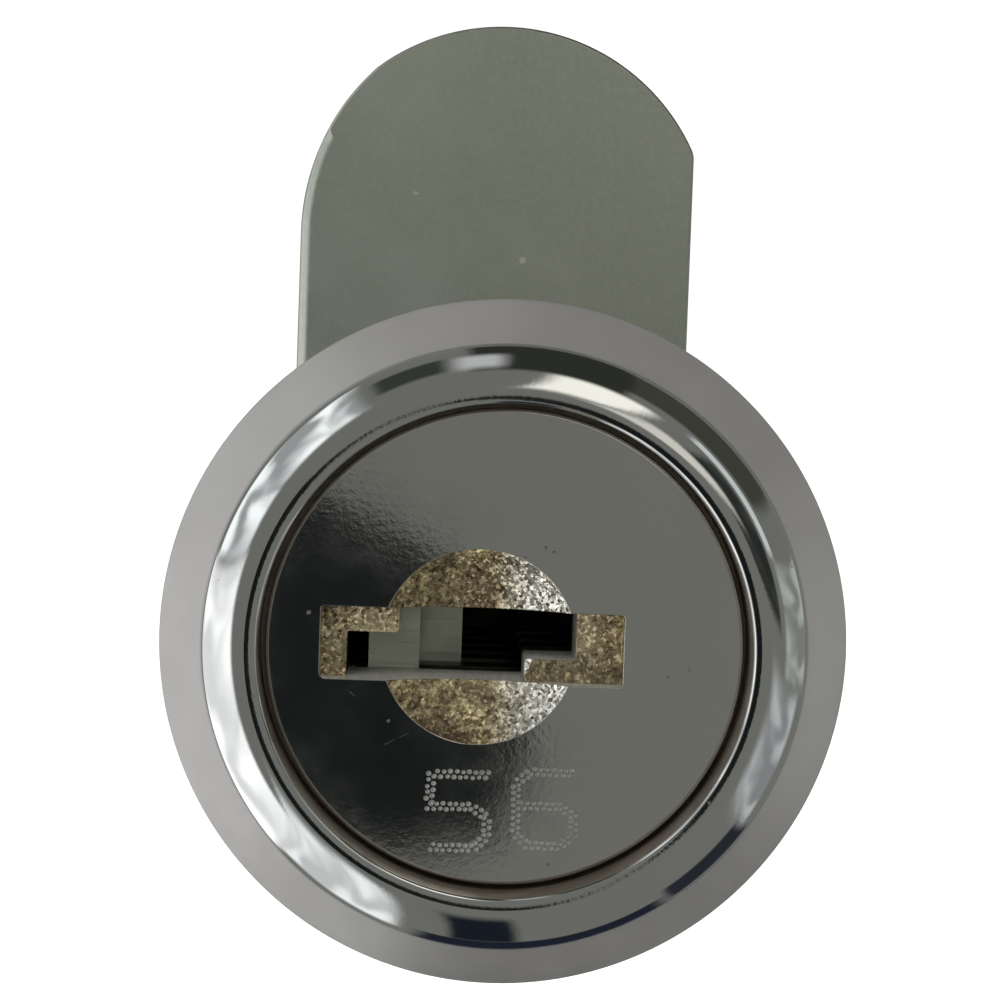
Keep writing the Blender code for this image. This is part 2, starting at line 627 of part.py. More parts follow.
def make_spring_washer():
    """A split washer: a square bar wound into a ring that rises as it goes round."""
    steps = 36
    top = SPRING_WASHER_FRONT
    bottom = top - SPRING_WASHER_SECTION
    bm = bmesh.new()
    corners = [
        (SPRING_WASHER_INNER, 0, top), (SPRING_WASHER_OUTER, 0, top),
        (SPRING_WASHER_OUTER, 0, bottom), (SPRING_WASHER_INNER, 0, bottom),
    ]
    face = bm.faces.new([bm.verts.new(corner) for corner in corners])
    bmesh.ops.spin(
        bm, geom=[face, *face.edges, *face.verts], cent=(0, 0, 0), axis=(0, 0, 1),
        dvec=(0, 0, -SPRING_WASHER_RISE / steps), angle=SPRING_WASHER_TURN, steps=steps,
        use_duplicate=False,
    )
    bmesh.ops.recalc_face_normals(bm, faces=bm.faces)
    bmesh.ops.rotate(bm, verts=bm.verts, cent=(0, 0, 0), matrix=Matrix.Rotation(pi / 3, 3, "Z"))
    return from_bmesh("spring_washer", bm, PARTS, SPRING_STEEL)


def hex_nut(name, width, top, height, bore_radius, material, turn=0.0):
    """A hexagon nut with both faces chamfered to a circle and a plain bore over the thread's crests."""
    corner = width / 2 / cos(pi / 6)
    bottom = top - height
    outline = [(corner * cos(pi / 3 * i + turn), corner * sin(pi / 3 * i + turn)) for i in range(6)]
    hole = arc((0, 0), bore_radius, 0, 2 * pi, 48)[:-1]
    nut = plate(name, outline, top, bottom, PARTS, material, holes=[hole])
    face_radius = 0.95 * width / 2
    reach = corner + OVERCUT
    slope = NUT_CHAMFER_DROP / (corner - face_radius)
    drop = slope * (reach - face_radius)
    chamfer = turned(
        name + "_chamfer",
        [(0, top), (face_radius, top), (reach, top - drop), (reach, bottom + drop), (face_radius, bottom),
         (0, bottom)],
        CUTTERS,
    )
    boolean(nut, chamfer, "INTERSECT")
    return nut


def tooth_washer_outline():
    """External teeth: each one a short arc at the tip and a short arc at the root."""
    points = []
    step = 2 * pi / TOOTH_COUNT
    for tooth in range(TOOTH_COUNT):
        start = tooth * step
        points += arc((0, 0), TOOTH_WASHER_RADIUS, start, start + 0.4 * step, 1)
        points += arc((0, 0), TOOTH_ROOT_RADIUS, start + 0.55 * step, start + 0.85 * step, 1)
    return points


def make_rear_stack():
    hole = square(BOSS_WIDTH + 2 * BOSS_CLEARANCE)
    plate("stop_washer", stop_washer_outline(), STOP_FRONT, STOP_BACK, PARTS, ZINC_PLATE, holes=[hole])
    plate("cam", cam_outline(), CAM_FRONT, CAM_BACK, PARTS, ZINC_PLATE, holes=[hole])
    make_spring_washer()
    bore = STUD_RADIUS + CAM_NUT_CLEARANCE
    hex_nut("cam_nut", CAM_NUT_WIDTH, CAM_NUT_FRONT, CAM_NUT_HEIGHT, bore, NUT_NICKEL)


def make_fixings():
    bore = THREAD_RADIUS + FIXING_CLEARANCE
    hole = arc((0, 0), bore, 0, 2 * pi, 48)[:-1]
    plate(
        "toothed_washer", tooth_washer_outline(), TOOTH_WASHER_FRONT, TOOTH_WASHER_BACK, PARTS,
        SPRING_STEEL, holes=[hole],
    )
    hex_nut("fixing_nut", FIXING_NUT_WIDTH, FIXING_NUT_FRONT, FIXING_NUT_HEIGHT, bore, NUT_NICKEL, pi / 6)


make_housing()
make_plug()
for wafer in range(WAFER_COUNT):
    depth = wafer_depth(wafer)
    make_wafer(wafer, depth)
    make_spring(f"wafer_spring_{wafer + 1}", depth, EAR_LEFT)
make_retainer()
make_spring("retainer_spring", -RETAINER_DEPTH, EAR_LEFT + RETAINER_PROUD)
make_rear_stack()
make_fixings()
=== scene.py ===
# Looks for the cam lock. Shapes are drawn in metres in the lock's drawing frame, as in the part's source:
# x to the user's right, y up and z towards the user. They are then turned into the row's frame.
import random
from math import acos, asin, atan2, cos, hypot, pi, radians, sin, sqrt, tan

import bmesh
import bpy
from mathutils import Matrix, Vector


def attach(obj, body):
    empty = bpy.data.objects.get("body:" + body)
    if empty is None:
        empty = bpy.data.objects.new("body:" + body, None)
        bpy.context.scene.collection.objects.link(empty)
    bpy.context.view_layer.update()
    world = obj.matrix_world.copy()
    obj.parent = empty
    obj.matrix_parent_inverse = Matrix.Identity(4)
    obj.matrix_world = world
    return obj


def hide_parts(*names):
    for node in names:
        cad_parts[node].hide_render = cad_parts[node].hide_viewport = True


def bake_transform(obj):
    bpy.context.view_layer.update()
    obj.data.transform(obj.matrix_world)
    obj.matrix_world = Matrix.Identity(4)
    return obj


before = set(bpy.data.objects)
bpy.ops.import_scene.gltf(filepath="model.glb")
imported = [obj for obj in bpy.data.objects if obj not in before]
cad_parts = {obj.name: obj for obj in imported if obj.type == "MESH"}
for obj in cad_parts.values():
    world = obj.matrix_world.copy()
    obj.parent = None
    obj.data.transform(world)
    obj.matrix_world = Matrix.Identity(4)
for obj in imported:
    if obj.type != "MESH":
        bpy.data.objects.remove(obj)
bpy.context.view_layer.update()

MM = 0.001
TO_ROW = Matrix.Rotation(pi / 2, 4, "X")
MERGE = 1e-6
OVERCUT = 0.2 * MM

# Head, as the part's source sizes it
HEAD_RADIUS = 11.0 * MM
HEAD_HEIGHT = 3.1 * MM
RIM_HEIGHT = 0.6 * MM
FLARE_RADIUS = 9.6 * MM
FLARE_HEIGHT = 1.85 * MM
CREST_RADIUS = 8.1 * MM
HEAD_BORE = 7.75 * MM
LIP_RADIUS = 0.09 * MM
LIP_DROP = 0.02 * MM
HEAD_FLOOR = 0.6 * MM

# Barrel
BARREL_LENGTH = 20.0 * MM
THREAD_RADIUS = 8.0 * MM
THREAD_PITCH = 1.5 * MM
THREAD_DEPTH = 0.613 * THREAD_PITCH
THREAD_ROOT = THREAD_RADIUS - THREAD_DEPTH
NECK_LENGTH = 2.2 * MM
FLAT_HALF_WIDTH = 6.9 * MM
BORE_RADIUS = THREAD_ROOT - 1.23 * MM
RIM_INNER = BORE_RADIUS + 0.5 * MM
RIM_LENGTH = 1.3 * MM

# Plug
FACE = HEAD_HEIGHT - 1.35 * MM
PLUG_HEAD_RADIUS = HEAD_BORE - 0.18 * MM
PLUG_HEAD_BACK = HEAD_FLOOR + 0.05 * MM
PLUG_RADIUS = BORE_RADIUS - 0.10 * MM
PLUG_END = -BARREL_LENGTH - 0.15 * MM
BOSS_WIDTH = sqrt(2) * (PLUG_RADIUS - 0.87 * MM)
KEYWAY_LEFT = -PLUG_RADIUS + 0.75 * MM
KEYWAY_RIGHT = KEYWAY_LEFT + 7.3 * MM
KEYWAY_HALF = 1.15 * MM
MOUTH_DEPTH = 0.8 * MM
DISH_CENTRE = KEYWAY_LEFT + 4.17 * MM
DISH_RADIUS = 3.1 * MM
DISH_DEPTH = 1.15 * MM

# Wafers and springs
WAFER_COUNT = 6
WAFER_THICKNESS = 1.0 * MM
FIRST_WAFER = 2.2 * MM
RETAINER_DEPTH = BARREL_LENGTH - 3.4 * MM
LAST_WAFER = RETAINER_DEPTH - 2.9 * MM
WAFER_PITCH = (LAST_WAFER - FIRST_WAFER) / (WAFER_COUNT - 1)
WAFER_HALF = KEYWAY_HALF + 1.25 * MM
WAFER_LEFT = KEYWAY_LEFT + 0.65 * MM
SLOT_WIDTH = WAFER_THICKNESS + 0.15 * MM
SLOT_LEFT = WAFER_LEFT - 0.4 * MM
EAR_LEFT = 0.6 * MM
SPRING_RADIUS = 0.62 * MM
SPRING_WIRE = 0.12 * MM
SPRING_HEIGHT = WAFER_HALF + 0.2 * MM + SPRING_RADIUS + SPRING_WIRE
POCKET_WIDTH = 2 * (SPRING_RADIUS + SPRING_WIRE + 0.12 * MM)
POCKET_LEFT = -sqrt((PLUG_RADIUS - 0.5 * MM) ** 2 - (SPRING_HEIGHT + SPRING_RADIUS + SPRING_WIRE) ** 2)
POCKET_RIGHT = 2.72 * MM

# Rear stack and fixings
STOP_FRONT = PLUG_END - 0.05 * MM
STOP_BACK = STOP_FRONT - 1.2 * MM
CAM_FRONT = STOP_BACK - 0.05 * MM
CAM_BACK = CAM_FRONT - 2.0 * MM
CAM_WIDTH = 15.0 * MM
CAM_REACH = 22.0 * MM
BOSS_END = CAM_BACK + 0.3 * MM
STUD_RADIUS = 3.0 * MM
STUD_PITCH = 1.0 * MM
LOCK_WASHER_FRONT = CAM_BACK - 0.05 * MM
CAM_NUT_FRONT = LOCK_WASHER_FRONT - 1.7 * MM
CAM_NUT_HEIGHT = 5.0 * MM
STUD_END = CAM_NUT_FRONT - CAM_NUT_HEIGHT - 0.7 * MM
TOOTH_COUNT = 16
TOOTH_RADIUS = THREAD_RADIUS + 2.3 * MM
TOOTH_ROOT = TOOTH_RADIUS - 1.0 * MM
WASHER_FRONT = -5.0 * MM
WASHER_THICKNESS = 0.8 * MM
FIXING_FRONT = WASHER_FRONT - WASHER_THICKNESS - 0.05 * MM
FIXING_HEIGHT = 3.5 * MM
FIXING_BORE = THREAD_RADIUS + 0.12 * MM


# Mesh tools


def add_object(name, mesh):
    obj = bpy.data.objects.new(name, mesh)
    bpy.context.scene.collection.objects.link(obj)
    return obj


def from_bmesh(name, bm, recalculate=True):
    if recalculate:
        bmesh.ops.recalc_face_normals(bm, faces=bm.faces)
    mesh = bpy.data.meshes.new(name)
    bm.to_mesh(mesh)
    bm.free()
    return add_object(name, mesh)


def arc(centre, radius, start, end, steps):
    """Points on an arc about a centre, both ends included."""
    angles = [start + (end - start) * i / steps for i in range(steps + 1)]
    return [(centre[0] + radius * cos(a), centre[1] + radius * sin(a)) for a in angles]


def fillet(before, corner, after, radius, steps=4):
    """The points of an arc that rounds the corner between two straight runs."""
    before, corner, after = Vector(before), Vector(corner), Vector(after)
    to_before, to_after = (before - corner).normalized(), (after - corner).normalized()
    half = acos(max(-1.0, min(1.0, to_before.dot(to_after)))) / 2
    centre = corner + (to_before + to_after).normalized() * radius / sin(half)
    start = corner + to_before * radius / tan(half) - centre
    end = corner + to_after * radius / tan(half) - centre
    first, last = atan2(start.y, start.x), atan2(end.y, end.x)
    sweep = (last - first + pi) % (2 * pi) - pi
    return arc(centre, radius, first, first + sweep, steps)


def rounded(points, radii, steps=4):
    """A closed outline with each corner rounded by its radius, or left sharp where that is zero."""
    outline = []
    for i, (corner, radius) in enumerate(zip(points, radii)):
        before, after = points[i - 1], points[(i + 1) % len(points)]
        outline += fillet(before, corner, after, radius, steps) if radius else [corner]
    return outline


def join_rings(bm, rings, closed=False):
    """Faces between each ring of corners and the next, and back to the first ring if closed."""
    for ring, after in zip(rings, rings[1:] + rings[:1] if closed else rings[1:]):
        for i in range(len(ring)):
            j = (i + 1) % len(ring)
            corners = list(dict.fromkeys((ring[i], ring[j], after[j], after[i])))
            if len(corners) > 2:
                bm.faces.new(corners)


def turned(name, profile, steps=192):
    """A solid turned about z from (radius, z) points."""
    bm = bmesh.new()
    rings = []
    for radius, z in profile:
        if radius < MERGE:
            rings.append([bm.verts.new((0, 0, z))] * steps)
        else:
            rings.append([bm.verts.new((x, y, z)) for x, y in arc((0, 0), radius, 0, 2 * pi, steps)[:-1]])
    join_rings(bm, rings)
    return from_bmesh(name, bm)


def plate(name, outline, top, bottom, holes=()):
    """A flat plate between two heights, from the points of its outline and of its holes."""
    curve = bpy.data.curves.new(name, "CURVE")
    curve.dimensions = "2D"
    curve.fill_mode = "BOTH"
    curve.extrude = (top - bottom) / 2
    for points in (outline, *holes):
        spline = curve.splines.new("POLY")
        spline.points.add(len(points) - 1)
        for point, (x, y) in zip(spline.points, points):
            point.co = (x, y, 0, 1)
        spline.use_cyclic_u = True
    drawn = add_object(name + "_outline", curve)
    bpy.context.view_layer.update()
    mesh = bpy.data.meshes.new_from_object(drawn.evaluated_get(bpy.context.evaluated_depsgraph_get()))
    bpy.data.objects.remove(drawn)
    bm = bmesh.new()
    bm.from_mesh(mesh)
    bmesh.ops.remove_doubles(bm, verts=bm.verts, dist=MERGE)
    bmesh.ops.dissolve_limit(bm, angle_limit=radians(0.5), verts=bm.verts, edges=bm.edges)
    bmesh.ops.translate(bm, verts=bm.verts, vec=(0, 0, (top + bottom) / 2))
    return from_bmesh(name, bm)


def box(name, low, high):
    bm = bmesh.new()
    bmesh.ops.create_cube(bm, size=1)
    size = Vector(high) - Vector(low)
    bmesh.ops.scale(bm, verts=bm.verts, vec=size)
    bmesh.ops.translate(bm, verts=bm.verts, vec=Vector(low) + size / 2)
    return from_bmesh(name, bm)


def thread_rod(name, radius, depth, pitch, top, bottom, steps=96):
    """A rod with a rounded right-hand thread. Its ends spiral, so it is drawn long, to be trimmed."""
    flank = (
        (0.0, 0.0), (0.07, 0.03), (0.13, 0.13), (0.27, 0.51), (0.42, 0.90), (0.46, 0.97),
        (0.5, 1.0), (0.54, 0.97), (0.58, 0.90), (0.73, 0.51), (0.87, 0.13), (0.93, 0.03),
    )
    turns = int((top - bottom) / pitch) + 3
    high = top + 2 * pitch
    root = radius - depth
    profile = [(0, high)]
    for turn in range(turns + 1):
        profile += [(root + depth * height, high - (turn + share) * pitch) for share, height in flank]
    last = high - (turns + 1) * pitch
    profile += [(root, last), (0, last)]
    bm = bmesh.new()
    verts = [bm.verts.new((r, 0, z)) for r, z in profile]
    edges = [bm.edges.new(pair) for pair in zip(verts, verts[1:])]
    bmesh.ops.spin(
        bm, geom=verts + edges, cent=(0, 0, 0), axis=(0, 0, 1),
        dvec=(0, 0, pitch / steps), angle=2 * pi, steps=steps, use_duplicate=False,
    )
    bmesh.ops.remove_doubles(bm, verts=bm.verts, dist=MERGE)
    bmesh.ops.holes_fill(bm, edges=[e for e in bm.edges if e.is_boundary], sides=0)
    return from_bmesh(name, bm)


def apply_modifiers(obj):
    bpy.context.view_layer.update()
    mesh = bpy.data.meshes.new_from_object(obj.evaluated_get(bpy.context.evaluated_depsgraph_get()))
    obj.modifiers.clear()
    obj.data = mesh


def combine(obj, others, operation="DIFFERENCE"):
    """Joins, cuts or trims a solid with others, which are used up."""
    for other in others:
        modifier = obj.modifiers.new(other.name, "BOOLEAN")
        modifier.operation = operation
        modifier.solver = "MANIFOLD"
        modifier.object = other
    apply_modifiers(obj)
    for other in others:
        bpy.data.objects.remove(other)
    return obj


def bevel(obj, width, segments=3, angle=35, method="ANGLE"):
    modifier = obj.modifiers.new("edges", "BEVEL")
    modifier.width = width
    modifier.segments = segments
    modifier.limit_method = method
    modifier.angle_limit = radians(angle)
    modifier.use_clamp_overlap = False
    apply_modifiers(obj)
    return obj


def flat_groups(mesh, least_area):
    """Faces that lie in one plane and together cover at least an area, or that face along the axis."""
    bm = bmesh.new()
    bm.from_mesh(mesh)
    bm.faces.ensure_lookup_table()
    seen, flat = set(), set()
    for start in bm.faces:
        if start.index in seen:
            continue
        group, stack = [], [start]
        seen.add(start.index)
        while stack:
            face = stack.pop()
            group.append(face.index)
            for edge in face.edges:
                for other in edge.link_faces:
                    if other.index not in seen and other.normal.dot(start.normal) > 0.99999:
                        seen.add(other.index)
                        stack.append(other)
        if sum(bm.faces[i].calc_area() for i in group) > least_area or abs(start.normal.y) > 0.9999:
            flat.update(group)
    bm.free()
    return flat


def smooth_faces(obj, angle):
    """Shades a piece smooth up to an angle, and holds the normals of its flat faces straight."""
    mesh = obj.data
    mesh.shade_smooth()
    mesh.set_sharp_from_angle(angle=radians(angle))
    straight = {}
    for i in flat_groups(mesh, 6 * MM * MM):
        face = mesh.polygons[i]
        for vertex in face.vertices:
            straight.setdefault(vertex, []).append(face.normal.copy())
    normals = [Vector(corner.vector) for corner in mesh.corner_normals]
    for i, loop in enumerate(mesh.loops):
        for normal in straight.get(loop.vertex_index, ()):
            if normals[i].dot(normal) > cos(radians(angle)):
                normals[i] = normal
                break
    mesh.normals_split_custom_set(normals)


def bevel_by_weight(obj, width, weigh, segments):
    """Rounds the sharp edges, each by its own share of the width."""
    bm = bmesh.new()
    bm.from_mesh(obj.data)
    layer = bm.edges.layers.float.new("bevel_weight_edge")
    for edge in bm.edges:
        if len(edge.link_faces) == 2 and edge.calc_face_angle(0) > radians(35):
            edge[layer] = weigh((edge.verts[0].co + edge.verts[1].co) / 2)
    bm.to_mesh(obj.data)
    bm.free()
    return bevel(obj, width, segments, method="WEIGHT")


def finish_piece(obj, body, node, material, smooth=32, spare=()):
    """Turns a piece into the row's frame, smooths it up to an angle, ties it to its body and hides the node
    it stands for.
    """
    obj.data.transform(TO_ROW)
    smooth_faces(obj, smooth)
    if not obj.data.materials:
        obj.data.materials.append(None)
    obj.data.materials[0] = material
    for extra in spare:
        obj.data.materials.append(extra)
    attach(obj, body)
    if node:
        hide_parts(node)
    return obj


# Materials


class Nodes:
    """A short way to write a material's nodes."""

    def __init__(self, name):
        self.material = bpy.data.materials.new(name)
        self.material.use_nodes = True
        self.tree = self.material.node_tree
        self.shader = self.tree.nodes["Principled BSDF"]
        self.place = self.add("ShaderNodeTexCoord").outputs["Object"]

    def add(self, kind, **settings):
        node = self.tree.nodes.new(kind)
        for key, value in settings.items():
            setattr(node, key, value)
        return node

    def feed(self, value, socket):
        if isinstance(value, bpy.types.NodeSocket):
            self.tree.links.new(value, socket)
        else:
            socket.default_value = value

    def stretched(self, scale, turn=(0, 0, 0)):
        node = self.add("ShaderNodeMapping")
        self.feed(self.place, node.inputs["Vector"])
        node.inputs["Scale"].default_value = scale
        node.inputs["Rotation"].default_value = turn
        return node.outputs["Vector"]

    def along(self, axis):
        """The place's distance along one axis."""
        node = self.add("ShaderNodeSeparateXYZ")
        self.feed(self.place, node.inputs["Vector"])
        return node.outputs[axis]

    def noise(self, scale, detail=3.0, roughness=0.55, at=None, distortion=0.0):
        node = self.add("ShaderNodeTexNoise")
        self.feed(at or self.place, node.inputs["Vector"])
        node.inputs["Scale"].default_value = scale
        node.inputs["Detail"].default_value = detail
        node.inputs["Roughness"].default_value = roughness
        node.inputs["Distortion"].default_value = distortion
        return node.outputs["Fac"]

    def cells(self, scale, output="Distance", feature="F1", at=None):
        node = self.add("ShaderNodeTexVoronoi", feature=feature)
        self.feed(at or self.place, node.inputs["Vector"])
        node.inputs["Scale"].default_value = scale
        return node.outputs[output]

    def spread(self, value, from_low, from_high, low=0.0, high=1.0):
        node = self.add("ShaderNodeMapRange", interpolation_type="SMOOTHSTEP")
        self.feed(value, node.inputs["Value"])
        limits = {"From Min": from_low, "From Max": from_high, "To Min": low, "To Max": high}
        for key, number in limits.items():
            node.inputs[key].default_value = number
        return node.outputs["Result"]

    def maths(self, operation, first, second=0.0):
        node = self.add("ShaderNodeMath", operation=operation)
        self.feed(first, node.inputs[0])
        self.feed(second, node.inputs[1])
        return node.outputs[0]

    def vector(self, operation, *values):
        node = self.add("ShaderNodeVectorMath", operation=operation)
        for value, socket in zip(values, node.inputs):
            self.feed(value, socket)
        return node.outputs["Vector"]

    def mix(self, share, first, second):
        node = self.add("ShaderNodeMix", data_type="RGBA")
        self.feed(share, node.inputs["Factor"])
        self.feed((*first, 1) if isinstance(first, tuple) else first, node.inputs["A"])
        self.feed((*second, 1) if isinstance(second, tuple) else second, node.inputs["B"])
        return node.outputs["Result"]

    def tones(self, cloud, first, second):
        return self.mix(self.spread(cloud, 0.3, 0.7), first, second)

    def bump(self, height, strength, distance, normal=None):
        node = self.add("ShaderNodeBump")
        self.feed(height, node.inputs["Height"])
        node.inputs["Strength"].default_value = strength
        node.inputs["Distance"].default_value = distance
        if normal:
            self.feed(normal, node.inputs["Normal"])
        return node.outputs["Normal"]

    def soft_edges(self, radius):
        """A normal that turns smoothly over the piece's edges."""
        node = self.add("ShaderNodeBevel", samples=6)
        node.inputs["Radius"].default_value = radius
        return node.outputs["Normal"]

    def finish(self, colour, roughness, normal=None, metallic=1.0):
        for value, socket in ((colour, "Base Color"), (roughness, "Roughness"), (metallic, "Metallic")):
            if isinstance(value, tuple):
                value = (*value, 1)
            self.feed(value, self.shader.inputs[socket])
        if normal:
            self.feed(normal, self.shader.inputs["Normal"])
        return self.material


def chrome(name, colour, roughness, ripple, edges=None):
    """Bright plating: smears in its gloss, a fine ripple under it and a few tiny pits."""
    n = Nodes(name)
    smears = n.noise(420, 4, 0.6)
    cloud = n.noise(90, 2)
    pits = n.spread(n.cells(1300), 0.05, 0.10, 1.0, 0.0)
    pits = n.maths("MULTIPLY", pits, n.spread(n.noise(700, 1), 0.56, 0.62))
    tint = n.tones(cloud, tuple(c * 0.96 for c in colour), colour)
    tint = n.mix(n.maths("MULTIPLY", pits, 0.5), tint, (0.20, 0.20, 0.19))
    gloss = n.maths("ADD", n.spread(smears, 0.35, 0.75, roughness * 0.8, roughness * 1.4),
                    n.maths("MULTIPLY", pits, 0.2))
    waves = n.maths("ADD", n.noise(5200, 3, 0.6), n.maths("MULTIPLY", n.noise(900, 2), 0.8))
    waves = n.maths("SUBTRACT", waves, n.maths("MULTIPLY", pits, 2.0))
    normal = n.bump(waves, ripple, 0.00002, n.soft_edges(edges) if edges else None)
    return n.finish(tint, gloss, normal)


def satin_chrome():
    """The flared flange: the same plating over a finely blasted casting, partly a matt scatter."""
    n = Nodes("head_satin")
    fine = n.noise(6500, 3, 0.6)
    cloud = n.noise(160, 3)
    tint = n.mix(n.spread(cloud, 0.25, 0.75), (0.50, 0.485, 0.48), (0.56, 0.545, 0.54))
    gloss = n.spread(n.noise(900, 3), 0.3, 0.7, 0.40, 0.48)
    return n.finish(tint, gloss, n.bump(fine, 0.08, 0.00003), 0.45)


def cast_metal(name, dull, bright, painted_highlight=None):
    """Raw cast metal in the keyway's recess: facets that catch the light, over dull bronze, with a painted
    highlight on one side if one is given.
    """
    n = Nodes(name)
    patches = n.noise(620, 4, 0.65, distortion=0.6)
    facets = n.cells(10500, "Color")
    grain = n.add("ShaderNodeSeparateColor")
    n.feed(facets, grain.inputs["Color"])
    colour = n.mix(n.spread(patches, 0.40, 0.62), dull, bright)
    # Painted highlight: the colour turns pale silver towards the right, where the dish catches the light
    if painted_highlight:
        side = n.maths("ADD", n.along("X"), n.maths("MULTIPLY", patches, 0.0016))
        colour = n.mix(n.spread(side, 0.0002, 0.0018), colour, painted_highlight)
    colour = n.mix(n.spread(grain.outputs[0], 0.0, 0.5, 0.4, 0.0), colour, tuple(c * 0.35 for c in dull))
    normal = n.bump(n.noise(3400, 4, 0.65), 0.6, 0.00006, n.soft_edges(0.00005))
    lean = n.vector("SUBTRACT", facets, (0.5, 0.5, 0.5))
    normal = n.vector("NORMALIZE", n.vector("MULTIPLY_ADD", lean, (0.85, 0.85, 0.85), normal))
    return n.finish(colour, n.spread(patches, 0.3, 0.7, 0.15, 0.28), normal, 0.85)


def pale_wall():
    """The keyway's broached walls: pale, matt bare metal just behind the face, darkened to near black further
    in as painted shade.
    """
    n = Nodes("keyway_wall")
    # Painted shade: past about 1.4 mm deep the walls fade to near black
    painted_depth_shade = n.spread(n.along("Y"), 1.4 * MM, 2.6 * MM)
    lines = n.noise(1.0, 3, 0.55, n.stretched((6000, 500, 6000)))
    colour = n.tones(lines, (0.56, 0.55, 0.50), (0.70, 0.69, 0.63))
    colour = n.mix(painted_depth_shade, colour, (0.03, 0.03, 0.026))
    return n.finish(colour, 0.45, n.bump(lines, 0.2, 0.00003), 0.25)


def bore_wall():
    """The wall of the head's bore, round the plug's face: brown, dull and dark under the plating's edge, the
    darkness a painted shade of the narrow gap.
    """
    n = Nodes("head_bore_wall")
    cloud = n.noise(900, 3, 0.6)
    colour = n.tones(cloud, (0.24, 0.20, 0.16), (0.34, 0.29, 0.24))
    return n.finish(colour, 0.40, n.bump(n.noise(5000, 3), 0.15, 0.00003), 0.5)


def bare_zinc():
    """The plug's hidden body: a dull cast surface, greyer than the plated face."""
    n = Nodes("plug_body_cast")
    cloud = n.noise(500, 4, 0.6)
    colour = n.tones(cloud, (0.34, 0.34, 0.33), (0.46, 0.46, 0.44))
    gloss = n.spread(n.noise(1500), 0.3, 0.7, 0.34, 0.5)
    return n.finish(colour, gloss, n.bump(n.noise(3000, 4), 0.2, 0.00004))


def plated_zinc(name, low, high, roughness):
    """Clear-passivated zinc: a soft olive grey with clouds, fine grain and a few bright specks."""
    n = Nodes(name)
    cloud = n.noise(130, 5, 0.6)
    grain = n.noise(4200, 3, 0.6)
    colour = n.tones(cloud, low, high)
    colour = n.mix(n.spread(grain, 0.35, 0.75, 0.0, 0.22), colour, tuple(c * 1.25 for c in high))
    specks = n.spread(n.cells(420), 0.035, 0.075, 1.0, 0.0)
    specks = n.maths("MULTIPLY", specks, n.spread(n.noise(900, 1), 0.54, 0.60))
    colour = n.mix(specks, colour, (0.62, 0.63, 0.58))
    gloss = n.spread(cloud, 0.3, 0.7, roughness * 0.9, roughness * 1.15)
    rolled = n.noise(1.0, 2, 0.5, n.stretched((3200, 3200, 260)))
    height = n.maths("ADD", n.maths("MULTIPLY", grain, 0.6), n.maths("MULTIPLY", rolled, 0.4))
    return n.finish(colour, gloss, n.bump(height, 0.16, 0.00004))


def machined(name, low, high, roughness, scale=7000):
    """A turned or drawn steel part under nickel: fine rings round the lock's axis and light stains."""
    n = Nodes(name)
    squares = [n.maths("POWER", n.maths("ABSOLUTE", n.along(axis)), 2.0) for axis in ("X", "Z")]
    radius = n.maths("SQRT", n.maths("ADD", *squares))
    join = n.add("ShaderNodeCombineXYZ")
    n.feed(n.maths("MULTIPLY", radius, scale), join.inputs["X"])
    n.feed(n.maths("MULTIPLY", n.along("Y"), 900.0), join.inputs["Y"])
    rings = n.noise(1.0, 2, 0.5, join.outputs["Vector"])
    stains = n.noise(260, 4, 0.6)
    colour = n.mix(n.spread(stains, 0.32, 0.68), low, high)
    gloss = n.maths("ADD", n.spread(stains, 0.3, 0.7, roughness * 0.85, roughness * 1.2),
                    n.maths("MULTIPLY", n.spread(rings, 0.4, 0.6), 0.05))
    height = n.maths("ADD", n.maths("MULTIPLY", rings, 0.5), n.maths("MULTIPLY", n.noise(1600, 3), 0.5))
    return n.finish(colour, gloss, n.bump(height, 0.10, 0.00004))


def stamped_brass(name, low, high):
    """Blanked wafer stock: drawn lines along the plate and a dull film."""
    n = Nodes(name)
    lines = n.noise(1.0, 3, 0.55, n.stretched((420, 3000, 9000)))
    film = n.noise(700, 4, 0.6)
    colour = n.tones(film, low, high)
    gloss = n.spread(lines, 0.3, 0.7, 0.26, 0.42)
    return n.finish(colour, gloss, n.bump(lines, 0.18, 0.00004))


HEAD_CHROME = chrome("head_chrome", (0.56, 0.57, 0.57), 0.045, 0.03)
HEAD_SATIN = satin_chrome()
FACE_CHROME = chrome("plug_face_chrome", (0.56, 0.565, 0.55), 0.07, 0.055, edges=0.00004)
# The last colour is the painted highlight on the dish's right side
DISH_CAST = cast_metal("dish_cast", (0.30, 0.23, 0.14), (0.78, 0.66, 0.40), (0.80, 0.79, 0.72))
# A darker copy of the dish's cast metal: painted shade on the ledges and walls down in the mouth
LEDGE_CAST = cast_metal("ledge_cast", (0.24, 0.19, 0.12), (0.56, 0.47, 0.30))
KEYWAY_WALL = pale_wall()
# Painted shade: the head's bore wall is darkened to a dull brown
BORE_WALL = bore_wall()
PLUG_CAST = bare_zinc()
PEENED = machined("peened_mark", (0.42, 0.42, 0.40), (0.56, 0.56, 0.54), 0.32, scale=16000)
CAM_ZINC = plated_zinc("cam_zinc", (0.36, 0.385, 0.335), (0.43, 0.455, 0.40), 0.42)
STOP_ZINC = plated_zinc("stop_washer_zinc", (0.42, 0.43, 0.39), (0.52, 0.53, 0.48), 0.34)
WAFER_BRASS = stamped_brass("wafer_brass", (0.36, 0.38, 0.32), (0.46, 0.475, 0.40))
